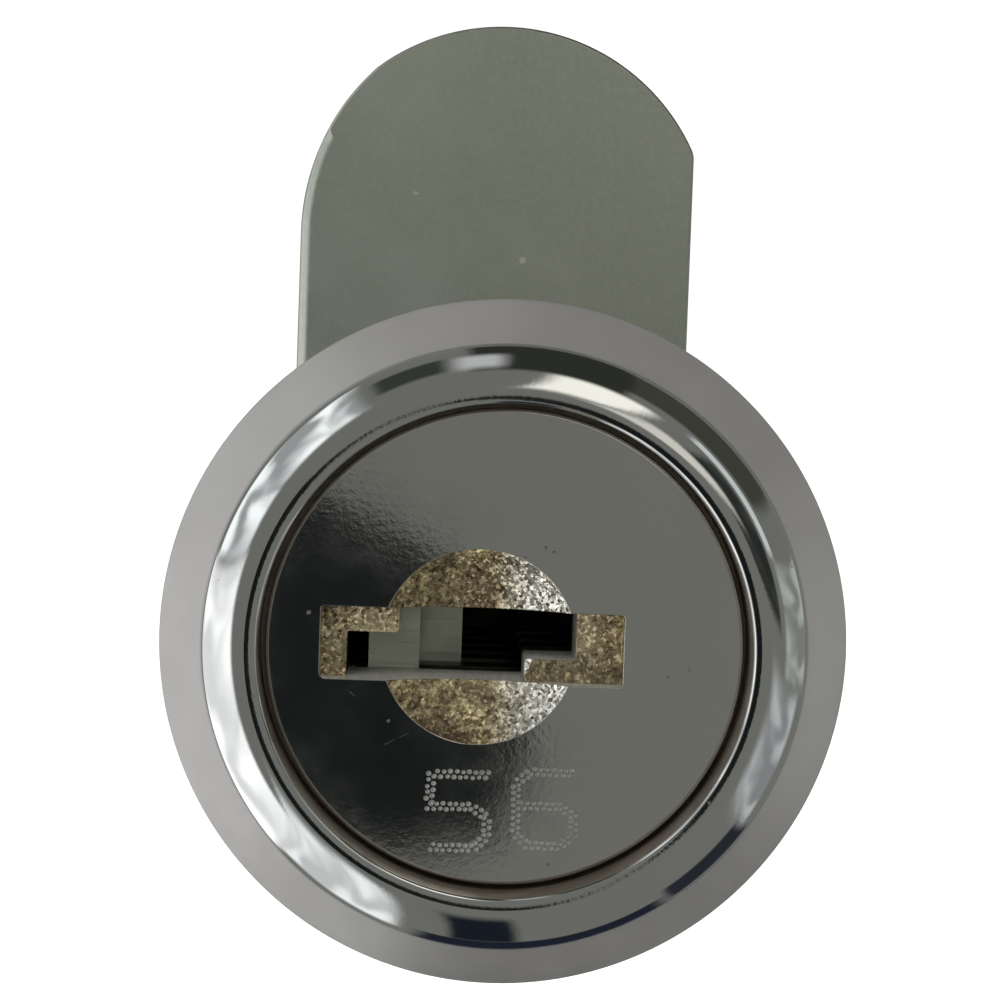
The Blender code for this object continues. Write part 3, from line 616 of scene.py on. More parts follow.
# Near-black copy of the wafer stock: painted shade for the wafers and blade way deep inside the plug
WAFER_PAINTED_SHADE = stamped_brass("wafer_painted_shade", (0.02, 0.02, 0.018), (0.035, 0.035, 0.03))
RETAINER_BRASS = stamped_brass("retainer_brass", (0.52, 0.45, 0.28), (0.62, 0.54, 0.35))
SPRING_STEEL = machined("spring_steel", (0.42, 0.42, 0.43), (0.56, 0.56, 0.57), 0.24)
WASHER_STEEL = machined("washer_steel", (0.44, 0.43, 0.41), (0.58, 0.57, 0.54), 0.27)
NUT_NICKEL = machined("nut_nickel", (0.52, 0.50, 0.46), (0.66, 0.64, 0.59), 0.20)


# Head and barrel


def head_profile():
    """The head's outer side, from the bezel's lip over its crest and down the flare to the seat."""
    outer_run = FLARE_RADIUS - CREST_RADIUS
    outer_rise = HEAD_HEIGHT - FLARE_HEIGHT
    outer_steps = 28
    brink = HEAD_HEIGHT - LIP_DROP
    lip = fillet((HEAD_BORE, 0), (HEAD_BORE, brink), (CREST_RADIUS, brink), LIP_RADIUS, 6)
    outer = [
        (CREST_RADIUS + outer_run * sin(pi / 2 * i / outer_steps),
         FLARE_HEIGHT + outer_rise * cos(pi / 2 * i / outer_steps))
        for i in range(outer_steps + 1)
    ]
    rim = fillet(outer[-1], (HEAD_RADIUS, RIM_HEIGHT), (HEAD_RADIUS, 0), 0.18 * MM, 5)
    seat = fillet((HEAD_RADIUS, RIM_HEIGHT), (HEAD_RADIUS, 0), (0, 0), 0.12 * MM, 4)
    neck = [(THREAD_ROOT, 0), (THREAD_ROOT, -NECK_LENGTH), (0, -NECK_LENGTH)]
    return [(0, lip[0][1]), *lip, *outer, *rim, *seat, *neck]


def groove_outline(turn):
    """The channel in the bore that let-out wafers drop into, turned about the axis."""
    half = WAFER_HALF + 0.15 * MM
    reach = asin(half / BORE_RADIUS)
    far_end = arc((0.63 * MM, 0), BORE_RADIUS, -reach, reach, 16)
    return [
        (x * cos(turn) - y * sin(turn), x * sin(turn) + y * cos(turn))
        for x, y in [(0, -half), *far_end, (0, half)]
    ]


def stop_rim_outline():
    margin = radians(17.5)
    gap_start = -pi - margin
    gap_end = -pi / 2 + margin
    outer = arc((0, 0), THREAD_ROOT, gap_end, gap_start + 2 * pi, 72)
    inner = arc((0, 0), RIM_INNER, gap_start + 2 * pi, gap_end, 72)
    return outer + inner


def make_housing():
    barrel = thread_rod(
        "housing_shell", THREAD_RADIUS, THREAD_DEPTH, THREAD_PITCH, -NECK_LENGTH, -BARREL_LENGTH, 144
    )
    cut = 0.35 * MM
    slope_top = -BARREL_LENGTH + HEAD_RADIUS - THREAD_RADIUS + cut
    envelope = turned("envelope", [
        (0, -NECK_LENGTH + OVERCUT), (HEAD_RADIUS, -NECK_LENGTH + OVERCUT), (HEAD_RADIUS, slope_top),
        (THREAD_RADIUS - cut, -BARREL_LENGTH), (0, -BARREL_LENGTH),
    ], 144)
    flats = box(
        "flats", (-FLAT_HALF_WIDTH, -HEAD_RADIUS, -BARREL_LENGTH - MM), (FLAT_HALF_WIDTH, HEAD_RADIUS, MM)
    )
    combine(barrel, [envelope, flats], "INTERSECT")
    rim = plate("stop_rim", stop_rim_outline(), -BARREL_LENGTH + OVERCUT, -BARREL_LENGTH - RIM_LENGTH)
    combine(barrel, [turned("head_blank", head_profile()), rim], "UNION")
    beyond_head, beyond_barrel = HEAD_HEIGHT + OVERCUT, -BARREL_LENGTH - RIM_LENGTH - OVERCUT
    groove = RETAINER_DEPTH
    half = (WAFER_THICKNESS + 0.5 * MM) / 2
    bore = turned("bore", [
        (0, beyond_head), (HEAD_BORE, beyond_head), (HEAD_BORE, HEAD_FLOOR), (BORE_RADIUS, HEAD_FLOOR),
        (BORE_RADIUS, -groove + half), (BORE_RADIUS + 0.5 * MM, -groove + half),
        (BORE_RADIUS + 0.5 * MM, -groove - half), (BORE_RADIUS, -groove - half),
        (BORE_RADIUS, beyond_barrel), (0, beyond_barrel),
    ])
    top = -FIRST_WAFER + WAFER_PITCH / 2
    bottom = -BARREL_LENGTH - OVERCUT
    grooves = [plate(f"groove_{i}", groove_outline(turn), top, bottom) for i, turn in enumerate((0, -pi / 2))]
    combine(barrel, [bore, *grooves])
    spare = [HEAD_SATIN, BORE_WALL]
    shell = finish_piece(barrel, "housing", "housing", HEAD_CHROME, 30, spare)
    for face in shell.data.polygons:
        radius = hypot(face.center.x, face.center.z)
        flared = radius > FLARE_RADIUS + 0.01 * MM and -FLARE_HEIGHT < face.center.y < 0
        in_head = LIP_RADIUS + LIP_DROP - HEAD_HEIGHT < face.center.y < 0.05 * MM - HEAD_FLOOR
        in_bore = radius < HEAD_BORE + 0.01 * MM and in_head
        face.material_index = 2 if in_bore else int(flared)
    return shell


# Plug


def keyway_outline():
    """The blade passage, stepped in by a ward at its upper left and one at its lower right."""
    half = KEYWAY_HALF
    upper_x, upper_y = KEYWAY_LEFT + 1.65 * MM, half - 0.86 * MM
    lower_x, lower_y = KEYWAY_RIGHT - 1.63 * MM, 0.73 * MM - half
    points = [
        (KEYWAY_LEFT, -half), (lower_x, -half), (lower_x, lower_y), (KEYWAY_RIGHT, lower_y),
        (KEYWAY_RIGHT, half), (upper_x, half), (upper_x, upper_y), (KEYWAY_LEFT, upper_y),
    ]
    return rounded(points, [r * MM for r in (0.08, 0.06, 0.12, 0.08, 0.1, 0.06, 0.14, 0.08)])


def mouth_outline():
    left, right = KEYWAY_LEFT - 0.83 * MM, KEYWAY_RIGHT + 1.47 * MM
    half = KEYWAY_HALF
    points = [(left, -half), (right, -half), (right, half), (left, half)]
    return rounded(points, [0.22 * MM, 0.10 * MM, 0.12 * MM, 0.10 * MM])


def make_dish():
    """The ball end that hollows the face round the keyway, drawn as the cap that cuts."""
    ball = (DISH_RADIUS**2 + DISH_DEPTH**2) / (2 * DISH_DEPTH)
    reach = asin(DISH_RADIUS / ball) * 1.06
    top = FACE + OVERCUT
    steps = 30
    profile = [
        (ball * sin(reach * i / steps), FACE - DISH_DEPTH + ball * (1 - cos(reach * i / steps)))
        for i in range(steps + 1)
    ]
    brink, height = profile[-1]
    dish = turned("dish", [*profile, (brink, max(top, height + OVERCUT)), (0, top + OVERCUT)], 128)
    dish.data.transform(Matrix.Translation((DISH_CENTRE, 0, 0)))
    return dish


def wafer_depths():
    return [-FIRST_WAFER - i * WAFER_PITCH for i in range(WAFER_COUNT)]


def in_blade_way(face):
    margin = 0.05 * MM
    across = KEYWAY_LEFT - margin < face.center.x < KEYWAY_RIGHT + margin
    return across and abs(face.center.z) < KEYWAY_HALF + margin


def make_plug():
    chamfer = 0.12 * MM
    edge = fillet((0, FACE), (PLUG_HEAD_RADIUS, FACE), (PLUG_HEAD_RADIUS, 0), chamfer, 6)
    plug = turned("plug_core", [
        (0, FACE), *edge, (PLUG_HEAD_RADIUS, PLUG_HEAD_BACK), (PLUG_RADIUS, PLUG_HEAD_BACK),
        (PLUG_RADIUS, PLUG_END), (0, PLUG_END),
    ])
    half = BOSS_WIDTH / 2
    square = rounded([(-half, -half), (half, -half), (half, half), (-half, half)], [0.35 * MM] * 4, 5)
    boss = plate("boss", square, PLUG_END + 0.5 * MM, BOSS_END)
    stud = thread_rod("stud", STUD_RADIUS, 0.613 * STUD_PITCH, STUD_PITCH, BOSS_END, STUD_END, 64)
    beyond = STUD_RADIUS + MM
    trim = turned("stud_trim", [
        (0, BOSS_END + 0.3 * MM), (beyond, BOSS_END + 0.3 * MM), (beyond, STUD_END + 1.6 * MM),
        (STUD_RADIUS - 0.6 * MM, STUD_END), (0, STUD_END),
    ], 64)
    combine(stud, [trim], "INTERSECT")
    combine(plug, [boss, stud], "UNION")
    cutters = [
        make_dish(),
        plate("mouth", mouth_outline(), FACE + OVERCUT, FACE - MOUTH_DEPTH),
        plate("keyway", keyway_outline(), FACE + OVERCUT, -LAST_WAFER - 1.7 * MM),
    ]
    slot_half = WAFER_HALF + 0.10 * MM
    for i, z in enumerate([*wafer_depths(), -RETAINER_DEPTH]):
        cutters.append(box(f"slot_{i}", (SLOT_LEFT, -slot_half, z - SLOT_WIDTH / 2),
                           (PLUG_RADIUS + OVERCUT, slot_half, z + SLOT_WIDTH / 2)))
        cutters.append(box(f"pocket_{i}", (POCKET_LEFT, slot_half - 0.1 * MM, z - POCKET_WIDTH / 2),
                           (POCKET_RIGHT, PLUG_RADIUS + OVERCUT, z + POCKET_WIDTH / 2)))
    combine(plug, cutters)
    looks = [PLUG_CAST, DISH_CAST, LEDGE_CAST, KEYWAY_WALL, WAFER_PAINTED_SHADE]
    core = finish_piece(plug, "plug", "plug", FACE_CHROME, 30, looks)
    ball = (DISH_RADIUS**2 + DISH_DEPTH**2) / (2 * DISH_DEPTH)
    ball_centre = Vector((DISH_CENTRE, DISH_DEPTH - FACE - ball, 0))
    for face in core.data.polygons:
        depth = -face.center.y
        radius = hypot(face.center.x, face.center.z)
        on_face = depth > FACE - 0.005 * MM and face.normal.y < -0.95
        on_edge = radius > PLUG_HEAD_RADIUS - 0.2 * MM
        is_floor = face.normal.z > 0.8 and min(core.data.vertices[i].co.y for i in face.vertices) < 0
        if on_face or on_edge:
            face.material_index = 0
        elif abs((face.center - ball_centre).length - ball) < 0.02 * MM:
            face.material_index = 2
        elif depth > FACE - MOUTH_DEPTH - 0.01 * MM and radius < PLUG_HEAD_RADIUS - 0.3 * MM:
            face.material_index = 4 if face.normal.z > 0.8 else 3
        elif (depth > -1.2 * MM or is_floor) and radius < PLUG_RADIUS - 0.1 * MM:
            face.material_index = 4
        # Deeper in, the blade way takes the near-black painted shade
        elif depth > -LAST_WAFER - 2 * MM and in_blade_way(face):
            face.material_index = 5
        else:
            face.material_index = 1
    return core


# Peened number


def stroke_points(path, spacing):
    """Points at an even spacing along a path of straight runs."""
    points, left_over = [], 0.0
    for start, end in zip(path, path[1:]):
        start, end = Vector(start), Vector(end)
        length = (end - start).length
        along = left_over
        while along < length:
            points.append((start.lerp(end, along / length), (end - start).normalized()))
            along += spacing
        left_over = along - length
    return points


def digit_paths():
    """A generic 5 and 6 in unit boxes with cut corners, as strokes."""
    five = [
        (0.93, 1.0), (0.08, 1.0), (0.05, 0.56), (0.72, 0.56), (0.95, 0.42), (0.95, 0.16), (0.76, 0.0),
        (0.05, 0.0),
    ]
    six = [
        (0.88, 1.0), (0.26, 1.0), (0.05, 0.84), (0.05, 0.16), (0.24, 0.0), (0.76, 0.0), (0.95, 0.16),
        (0.95, 0.40), (0.76, 0.54), (0.08, 0.54),
    ]
    return five, six


def make_number():
    """Two digits, each stroke two rows of shallow punched pits with a raised lip."""
    width, height = 2.06 * MM, 2.34 * MM
    spacing, row_gap = 0.20 * MM, 0.17 * MM
    pit = 0.085 * MM
    profile = [(0.0, 0.000), (0.45, 0.004), (0.75, 0.018), (0.9, 0.018), (1.0, 0.0)]
    chance = random.Random(5)
    bm = bmesh.new()
    starts = ((-2.33 * MM, -6.41 * MM), (0.43 * MM, -6.26 * MM))
    for path, (left, low) in zip(digit_paths(), starts):
        path = [(left + x * width, low + y * height) for x, y in path]
        for centre, along in stroke_points(path, spacing):
            side = Vector((-along.y, along.x))
            for row in (-0.5, 0.5):
                spot = centre + side * row * row_gap + along * (row * 0.5 * spacing)
                spot += Vector((chance.uniform(-1, 1), chance.uniform(-1, 1))) * 0.014 * MM
                size = pit * chance.uniform(0.85, 1.12)
                rings = []
                for share, rise in profile:
                    z = FACE + 0.001 * MM + rise * MM
                    if share == 0:
                        rings.append([bm.verts.new((*spot, z))] * 10)
                    else:
                        ring = arc(spot, size * share, 0, 2 * pi, 10)[:-1]
                        rings.append([bm.verts.new((x, y, z)) for x, y in ring])
                rings.append([bm.verts.new((*spot, FACE - 0.01 * MM))] * 10)
                join_rings(bm, rings)
    return finish_piece(from_bmesh("peened_number", bm), "plug", None, PEENED, 60)


def make_scratches():
    """A few hairline scratches on the plug's face, each a thin raised burr."""
    lines = (
        ((-2.86, -2.78), (-3.30, -2.98), 0.040), ((-3.30, -2.98), (-3.74, -3.22), 0.030),
        ((5.86, -2.28), (6.52, -2.84), 0.022), ((-0.80, -7.06), (-0.78, -7.34), 0.035),
        ((-5.10, 4.72), (-4.86, 4.30), 0.018), ((5.2, 3.3), (5.32, 3.0), 0.020),
        ((-4.9, -1.5), (-4.62, -1.72), 0.018), ((3.0, -5.3), (3.34, -5.42), 0.018),
    )
    bm = bmesh.new()
    for start, end, width in lines:
        start, end = Vector((*start, 0)) * MM, Vector((*end, 0)) * MM
        along = (end - start).normalized()
        side = Vector((-along.y, along.x, 0)) * width * MM / 2
        middle = start.lerp(end, 0.5)
        high = Vector((0, 0, FACE + 0.008 * MM))
        low = Vector((0, 0, FACE - 0.01 * MM))
        verts = [bm.verts.new(place + low) for place in (start, middle - side, end, middle + side)]
        verts += [bm.verts.new(place + high) for place in (start.lerp(end, 0.15), start.lerp(end, 0.85))]
        for corners in ((0, 1, 4), (1, 5, 4), (1, 2, 5), (2, 3, 5), (3, 4, 5), (3, 0, 4), (0, 3, 2, 1)):
            bm.faces.new([verts[i] for i in corners])
    return finish_piece(from_bmesh("face_scratches", bm), "plug", None, PEENED, 60)


# Springs


def make_spring(name, node, z, ear):
    """A fine compression spring between the plug and its wafer."""
    start = POCKET_LEFT + SPRING_WIRE + 0.04 * MM
    end = ear - SPRING_WIRE - 0.04 * MM
    coils, steps, sides = 6, 26, 8
    closed_pitch = 2.1 * SPRING_WIRE
    open_length = end - start - 2 * closed_pitch
    centres = []
    for i in range(coils * steps + 1):
        coil = i / steps
        share = min(max((coil - 1) / (coils - 2), 0), 1)
        closed = min(coil, 1) + max(coil - (coils - 1), 0)
        angle = 2 * pi * coil
        centres.append(Vector((
            start + closed_pitch * closed + open_length * share,
            SPRING_HEIGHT + SPRING_RADIUS * cos(angle), z + SPRING_RADIUS * sin(angle),
        )))
    bm = bmesh.new()
    rings = []
    for i, centre in enumerate(centres):
        along = (centres[min(i + 1, len(centres) - 1)] - centres[max(i - 1, 0)]).normalized()
        out = Vector((0, centre.y - SPRING_HEIGHT, centre.z - z)).normalized()
        side = along.cross(out).normalized()
        out = side.cross(along)
        rings.append([
            bm.verts.new(centre + (out * cos(a) + side * sin(a)) * SPRING_WIRE)
            for a in (2 * pi * k / sides for k in range(sides))
        ])
    join_rings(bm, rings)
    bm.faces.new(rings[0])
    bm.faces.new(rings[-1])
    spring = from_bmesh(name, bm)
    spring.data.transform(TO_ROW)
    spring.data.shade_smooth()
    spring.data.set_sharp_from_angle(angle=radians(50))
    spring.data.materials.append(SPRING_STEEL)
    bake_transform(spring)
    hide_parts(node)
    return spring


# Rear stack


def square_hole(width, corner):
    half = width / 2
    points = [(-half, -half), (half, -half), (half, half), (-half, half)]
    return rounded(points, [corner] * 4, 4)


def make_stop_washer():
    tab = -pi / 2
    half = radians(16)
    disc = arc((0, 0), RIM_INNER - 0.15 * MM, tab + half, tab - half + 2 * pi, 96)
    ears = arc((0, 0), THREAD_ROOT - 0.03 * MM, tab - half, tab + half, 10)
    hole = square_hole(BOSS_WIDTH + 0.1 * MM, 0.2 * MM)
    washer = plate("stop_washer_plate", disc + ears, STOP_FRONT, STOP_BACK, [hole])
    bevel(washer, 0.10 * MM)
    return finish_piece(washer, "plug", "stop_washer", STOP_ZINC)


def cam_outline():
    """A bar with a round end about the hole and a flatter arc at its tip. Its left side stands out."""
    half = CAM_WIDTH / 2
    left_half = half + 0.45 * MM
    corner = 1.0 * MM
    tip_radius, left_radius = half + 0.8 * MM, half + 1.45 * MM
    tip_centre = CAM_REACH - tip_radius
    meeting = acos((half - corner) / (tip_radius - corner))
    corner_centre = (half - corner, tip_centre + (tip_radius - corner) * sin(meeting))
    right = arc(corner_centre, corner, 0, meeting, 8)
    shift = left_radius - left_half
    crossing = (shift**2 + tip_radius**2 - left_radius**2) / (2 * shift)
    tip = arc((0, tip_centre), tip_radius, meeting, acos(crossing / tip_radius), 48)
    left = arc((shift, tip_centre), left_radius, acos((crossing - shift) / left_radius), pi, 28)
    end = arc(((half - left_half) / 2, 0), (half + left_half) / 2, pi, 2 * pi, 72)
    return end + right + tip[1:] + left[1:]


def make_cam():
    """The cam's blank was sheared, so its left edge is rolled over further than the rest."""
    cam = plate("cam_plate", cam_outline(), CAM_FRONT, CAM_BACK)
    rolled = -CAM_WIDTH / 2 + 0.4 * MM

    def share(place):
        """The roll runs out slowly round the lower end, where a sudden change would make a spike."""
        if place.z < CAM_FRONT - 0.1 * MM or place.x > rolled:
            return 0.25
        if place.y > 0:
            return 1.0
        return 0.25 + 0.75 * min((rolled - place.x) / (CAM_WIDTH / 2 + 0.45 * MM + rolled), 1.0)

    bevel_by_weight(cam, 0.45 * MM, share, 6)
    hole = square_hole(BOSS_WIDTH + 0.1 * MM, 0.2 * MM)
    combine(cam, [plate("cam_hole", hole, CAM_FRONT + OVERCUT, CAM_BACK - OVERCUT)])
    return finish_piece(cam, "plug", "cam", CAM_ZINC)


def make_lock_washer():
    """A split spring washer: a square bar wound into a ring that rises as it goes round."""
    inner, outer = STUD_RADIUS + 0.15 * MM, STUD_RADIUS + 2.8 * MM
    section, rise, turn, steps = 1.3 * MM, 0.35 * MM, radians(350), 90
    corner = 0.15 * MM
    flat = [(inner, 0), (outer, 0), (outer, -section), (inner, -section)]
    section_points = rounded(flat, [corner] * 4, 3)
    bm = bmesh.new()
    rings = []
    for i in range(steps + 1):
        angle = pi / 3 + turn * i / steps
        drop = LOCK_WASHER_FRONT - rise * i / steps
        rings.append([bm.verts.new((r * cos(angle), r * sin(angle), z + drop)) for r, z in section_points])
    join_rings(bm, rings)
    bm.faces.new(rings[0])
    bm.faces.new(rings[-1])
    washer = from_bmesh("split_washer", bm)
    return finish_piece(washer, "plug", "spring_washer", WASHER_STEEL)


def hex_nut(name, width, top, height, bore, turn, countersink):
    """A hexagon nut with both faces chamfered to a circle and a countersunk bore."""
    corner = width / 2 / cos(pi / 6)
    bottom = top - height
    outline = [(corner * cos(pi / 3 * i + turn), corner * sin(pi / 3 * i + turn)) for i in range(6)]
    nut = plate(name, rounded(outline, [0.3 * MM] * 6, 4), top, bottom)
    face, drop, out = 0.95 * width / 2, 0.45 * MM, corner + 0.2 * MM
    fall = drop / (corner - face) * (out - face)
    chamfer = turned(name + "_chamfer", [
        (0, top), (face, top), (out, top - fall), (out, bottom + fall), (face, bottom), (0, bottom),
    ], 144)
    combine(nut, [chamfer], "INTERSECT")
    hole = turned(name + "_bore", [
        (0, top + OVERCUT), (bore + countersink + OVERCUT, top + OVERCUT), (bore, top - countersink),
        (bore, bottom + countersink), (bore + countersink + OVERCUT, bottom - OVERCUT), (0, bottom - OVERCUT),
    ], 144)
    combine(nut, [hole])
    return bevel(nut, 0.06 * MM, 2, 28)


def make_toothed_washer():
    """External teeth, each twisted about its own length so that its corners bite."""
    steps_per_tooth = 16
    count = TOOTH_COUNT * steps_per_tooth
    thickness, twist = 0.42 * MM, 0.19 * MM
    middle = WASHER_FRONT - WASHER_THICKNESS / 2
    inner = FIXING_BORE
    step = 2 * pi / TOOTH_COUNT
    bm = bmesh.new()
    rings = []
    for i in range(count):
        angle = 2 * pi * i / count
        share = (angle % step) / step
        in_tooth = min(max((0.5 - abs(share - 0.29) - 0.22) / 0.06, 0), 1)
        tip = TOOTH_ROOT + (TOOTH_RADIUS - TOOTH_ROOT) * in_tooth
        slope = max(-1.0, min(1.0, (share - 0.29) / 0.22)) * twist
        shifts = [(inner, 0.0), (TOOTH_ROOT - 0.05 * MM, 0.0), (tip, slope * in_tooth)]
        upper, lower = (
            [bm.verts.new((r * cos(angle), r * sin(angle), side + shift)) for r, shift in shifts]
            for side in (middle + thickness / 2, middle - thickness / 2)
        )
        rings.append(upper + lower[::-1])
    join_rings(bm, rings, closed=True)
    washer = from_bmesh("star_washer", bm)
    return finish_piece(washer, "toothed_washer", "toothed_washer", WASHER_STEEL, 28)


make_housing()
make_plug()
make_number()
make_scratches()
for index, depth in enumerate(wafer_depths(), 1):
    make_spring(f"fine_spring_{index}", f"wafer_spring_{index}", depth, EAR_LEFT)
make_spring(
    "fine_retainer_spring", "retainer_spring", -RETAINER_DEPTH, EAR_LEFT + 0.5 * MM
)
make_stop_washer()
make_cam()
make_lock_washer()
cam_nut = hex_nut(
    "stud_nut", 2 * (STUD_RADIUS + 2.0 * MM), CAM_NUT_FRONT, CAM_NUT_HEIGHT, STUD_RADIUS + 0.08 * MM, 0,
    0.35 * MM,
)
finish_piece(cam_nut, "plug", "cam_nut", NUT_NICKEL)
make_toothed_washer()
fixing_nut = hex_nut(
    "barrel_nut", 2 * (THREAD_RADIUS + 1.5 * MM), FIXING_FRONT, FIXING_HEIGHT, FIXING_BORE, pi / 6, 0.3 * MM
)
finish_piece(fixing_nut, "fixing_nut", "fixing_nut", NUT_NICKEL)
# Wafers 3 to 6 take the near-black painted shade
wafer_looks = [WAFER_BRASS] * 2 + [WAFER_PAINTED_SHADE] * (WAFER_COUNT - 2)
for node, material in [*((f"wafer_{i}", look) for i, look in enumerate(wafer_looks, 1)),
                       ("retaining_wafer", RETAINER_BRASS)]:
    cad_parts[node].data.materials.clear()
    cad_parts[node].data.materials.append(material)


# Camera, floor, lights and the cards that the chrome mirrors

CAMERA_PLACE = Vector((-2.69, -89.6, 9.77)) * MM
CAMERA_YAW, CAMERA_PITCH, CAMERA_ROLL = 0.027, -0.058, 0.036
CAMERA_LENS = 100.73
FLOOR_HEIGHT = -34 * MM


def make_camera():
    forward = Vector((
        sin(CAMERA_YAW) * cos(CAMERA_PITCH), cos(CAMERA_YAW) * cos(CAMERA_PITCH), sin(CAMERA_PITCH)
    ))
    level = Vector((cos(CAMERA_YAW), -sin(CAMERA_YAW), 0))
    upright = level.cross(forward)
    right = level * cos(CAMERA_ROLL) + upright * sin(CAMERA_ROLL)
    up = upright * cos(CAMERA_ROLL) - level * sin(CAMERA_ROLL)
    data = bpy.data.cameras.new("camera")
    data.lens = CAMERA_LENS
    data.sensor_width = 36
    data.clip_start, data.clip_end = 0.005, 10
    camera = add_object("camera", data)
    turn = Matrix((right, up, -forward)).transposed().to_4x4()
    camera.matrix_world = Matrix.Translation(CAMERA_PLACE) @ turn
    bpy.context.scene.camera = camera


def emission(name, colour, strength, soft=0.0, streaks=0.0):
    """A card's glow. Its edges fade over a share of its width, and streaks cross it, as in a real room."""
    n = Nodes(name)
    n.tree.nodes.clear()
    glow = n.add("ShaderNodeEmission")
    n.feed((*colour, 1), glow.inputs["Color"])
    n.feed(strength, glow.inputs["Strength"])
    out = n.add("ShaderNodeOutputMaterial")
    if not soft:
        n.feed(glow.outputs[0], out.inputs["Surface"])
        return n.material
    n.place = n.add("ShaderNodeTexCoord").outputs["UV"]
    if streaks:
        noise = n.noise(1.6, 1.5, 0.5, n.stretched((0.9, 2.4, 1.0)), 0.4)
        n.feed(n.spread(noise, 0.38, 0.60, strength * (1 - streaks), strength), glow.inputs["Strength"])
    fades = []
    for axis in ("X", "Y"):
        off_centre = n.maths("ABSOLUTE", n.maths("SUBTRACT", n.along(axis), 0.5))
        fades.append(n.spread(off_centre, 0.5 - soft, 0.5, 1.0, 0.0))
    clear = n.add("ShaderNodeBsdfTransparent")
    mix = n.add("ShaderNodeMixShader")
    for value, socket in zip((n.maths("MULTIPLY", *fades), clear.outputs[0], glow.outputs[0]), mix.inputs):
        n.feed(value, socket)
    n.feed(mix.outputs[0], out.inputs["Surface"])
    return n.material


def direction(azimuth, elevation):
    a, e = radians(azimuth), radians(elevation)
    return Vector((sin(a) * cos(e), -cos(a) * cos(e), sin(e)))


def card(name, tilt, turn, colour, strength, distance, soft, streaks):
    """A curved card on a dome about the lock, which only reflections see. Tilt is the range of its
    angle from the line in front of the lock, and turn runs anticlockwise from the user's right."""
    steps = 16
    bm = bmesh.new()
    layer = bm.loops.layers.uv.new("span")
    grid = []
    for i in range(steps + 1):
        away = radians(tilt[0] + (tilt[1] - tilt[0]) * i / steps)
        row = []
        for j in range(steps + 1):
            about = radians(turn[0] + (turn[1] - turn[0]) * j / steps)
            toward = Vector((sin(away) * cos(about), -cos(away), sin(away) * sin(about)))
            row.append(bm.verts.new(toward * distance))
        grid.append(row)
    for i in range(steps):
        for j in range(steps):
            places = ((i, j), (i + 1, j), (i + 1, j + 1), (i, j + 1))
            face = bm.faces.new([grid[p][q] for p, q in places])
            for loop, (p, q) in zip(face.loops, places):
                loop[layer].uv = (p / steps, q / steps)
    obj = from_bmesh(name, bm, recalculate=False)
    obj.data.materials.append(emission(name, colour, strength, soft, streaks))
    hide_from_all_but_gloss(obj)
    return obj


def hide_from_all_but_gloss(obj):
    obj.visible_camera = False
    obj.visible_diffuse = False
    obj.visible_shadow = False
    obj.visible_transmission = False
    obj.visible_volume_scatter = False


def dark_card():
    """The dark shape in front of the lock, which the left of the plug's face mirrors."""
    outline = [
        (-34, -4), (-22.6, -12.3), (-14.8, -16.9), (-0.8, -24), (2.3, -26.3), (9, -37), (15.5, -54),
        (13.5, -62), (11, -69), (2, -72), (-10, -73), (-24, -68), (-34, -56),
    ]
    bm = bmesh.new()
    bm.faces.new([bm.verts.new((x * MM, -350 * MM, z * MM)) for x, z in outline])
    obj = from_bmesh("dark_shape", bm, recalculate=False)
    obj.data.materials.append(emission("dark_shape", (0.012, 0.015, 0.015), 1.0))
    hide_from_all_but_gloss(obj)


# Each card's name, tilt, turn, colour, strength, distance in metres, soft share and streaks
CARDS = (
    ("window_upper", (33, 122), (122, 172), (0.97, 1.0, 1.0), 1.75, 0.6, 0.1, 0.7),
    ("window_middle", (30, 132), (168, 232), (1.0, 1.0, 1.0), 1.9, 0.61, 0.08, 0.35),
    ("window_lower", (14, 120), (226, 256), (0.98, 1.0, 1.0), 1.5, 0.62, 0.16, 0.4),
    ("star_top", (44, 100), (88, 104), (1.0, 1.0, 1.0), 0.75, 0.55, 0.35, 0.0),
    ("dark_top_left", (50, 100), (102, 122), (0.055, 0.066, 0.055), 1.0, 0.57, 0.2, 0.0),
    ("dark_top", (42, 138), (60, 100), (0.04, 0.044, 0.036), 1.0, 0.58, 0.1, 0.0),
    ("dark_upper_right", (58, 132), (22, 76), (0.075, 0.078, 0.06), 1.0, 0.585, 0.1, 0.0),
    ("lamp_top", (6, 50), (50, 82), (1.0, 0.97, 0.88), 1.6, 0.5, 0.22, 0.0),
    ("lamp_right", (4, 26), (8, 56), (1.0, 0.96, 0.86), 1.0, 0.51, 0.3, 0.0),
    ("streak_right", (46, 57), (12, 46), (0.95, 1.0, 1.0), 0.9, 0.49, 0.12, 0.0),
    ("dark_right", (14, 44), (-6, 40), (0.06, 0.065, 0.06), 1.0, 0.52, 0.12, 0.4),
    ("light_right", (48, 125), (-14, 14), (0.62, 0.64, 0.6), 1.0, 0.53, 0.12, 0.5),
    ("light_lower_right", (20, 110), (-42, -10), (0.66, 0.68, 0.68), 1.1, 0.54, 0.2, 0.5),
    ("dark_lower_right", (72, 132), (-58, -38), (0.03, 0.035, 0.045), 1.0, 0.525, 0.12, 0.0),
    ("dark_below", (92, 140), (256, 304), (0.02, 0.025, 0.04), 1.0, 0.5, 0.1, 0.0),
    ("dark_notch", (24, 104), (262, 277), (0.015, 0.02, 0.03), 1.0, 0.495, 0.2, 0.0),
)


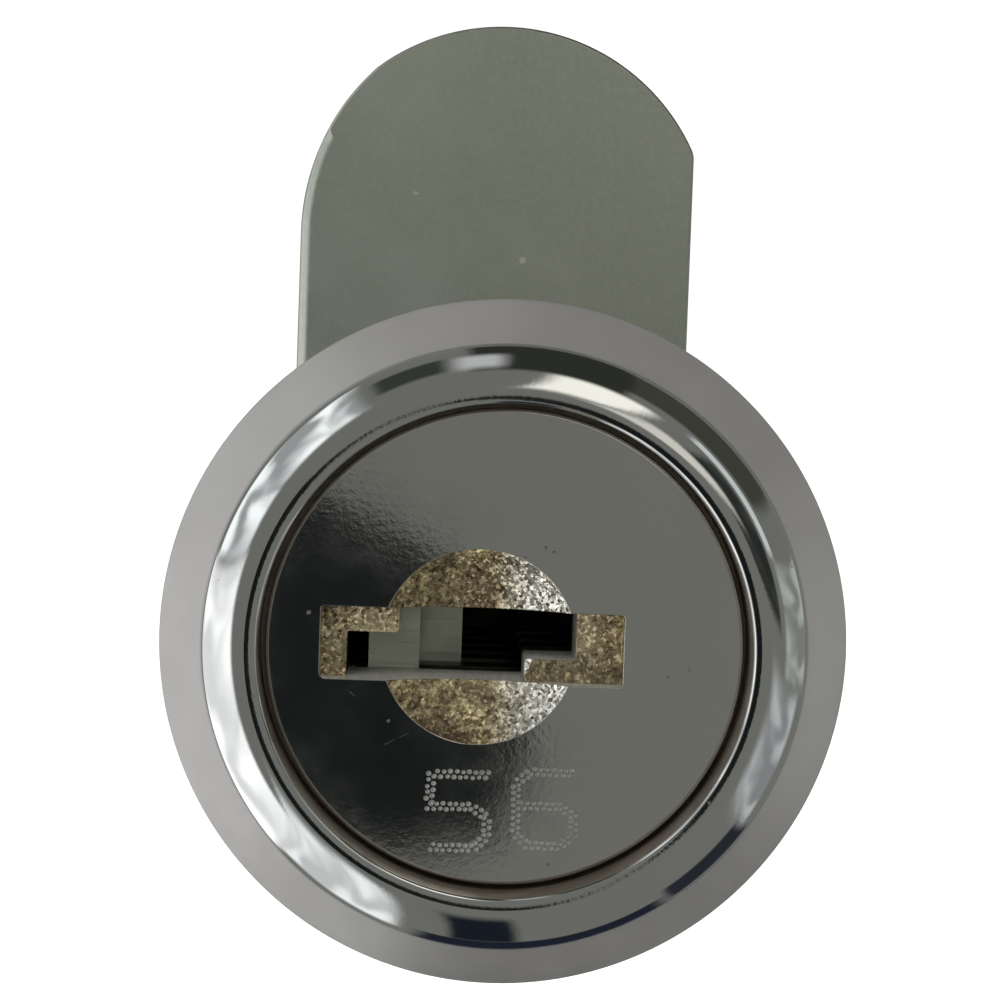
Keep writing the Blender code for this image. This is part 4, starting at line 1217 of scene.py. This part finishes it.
def make_floor():
    bm = bmesh.new()
    size = 3.0
    corners = ((-1, -1), (1, -1), (1, 1), (-1, 1))
    bm.faces.new([bm.verts.new((x * size, y * size, FLOOR_HEIGHT)) for x, y in corners])
    floor = from_bmesh("floor", bm, recalculate=False)
    n = Nodes("floor_paper")
    paper = n.mix(n.spread(n.noise(14, 3), 0.3, 0.7), (0.92, 0.92, 0.92), (0.94, 0.94, 0.94))
    n.finish(paper, 0.85, None, 0.0)
    n.shader.inputs["Emission Color"].default_value = (1, 1, 1, 1)
    n.shader.inputs["Emission Strength"].default_value = 1.0
    floor.data.materials.append(n.material)
    floor.visible_glossy = False
    floor.visible_diffuse = False


def make_world():
    """White behind the lock for the camera, and a soft grey room for its metal to mirror."""
    world = bpy.data.worlds.new("studio")
    bpy.context.scene.world = world
    world.use_nodes = True
    tree = world.node_tree
    tree.nodes.clear()
    rays = tree.nodes.new("ShaderNodeLightPath")
    mix = tree.nodes.new("ShaderNodeMixShader")
    out = tree.nodes.new("ShaderNodeOutputWorld")
    tree.links.new(rays.outputs["Is Camera Ray"], mix.inputs["Fac"])
    room, white = ((0.245, 0.247, 0.225, 1), 1.0), ((1, 1, 1, 1), 1.05)
    for socket, (colour, strength) in zip(mix.inputs[1:], (room, white)):
        background = tree.nodes.new("ShaderNodeBackground")
        background.inputs["Color"].default_value = colour
        background.inputs["Strength"].default_value = strength
        tree.links.new(background.outputs[0], socket)
    tree.links.new(mix.outputs[0], out.inputs["Surface"])


def area_light(name, azimuth, elevation, distance, size, power):
    """A lamp that lights matt surfaces and isn't mirrored."""
    data = bpy.data.lights.new(name, "AREA")
    data.size = size
    data.energy = power
    light = add_object(name, data)
    toward = direction(azimuth, elevation)
    turn = toward.to_track_quat("Z", "Y").to_matrix().to_4x4()
    light.matrix_world = Matrix.Translation(toward * distance) @ turn
    light.visible_glossy = False
    light.visible_camera = False


make_camera()
make_world()
dark_card()
for settings in CARDS:
    card(*settings)
make_floor()
area_light("fill", 25, -40, 0.6, 0.5, 1.3)
area_light("overhead", -8, 46, 0.8, 0.5, 2.2)
bpy.context.scene.view_settings.view_transform = "Standard"
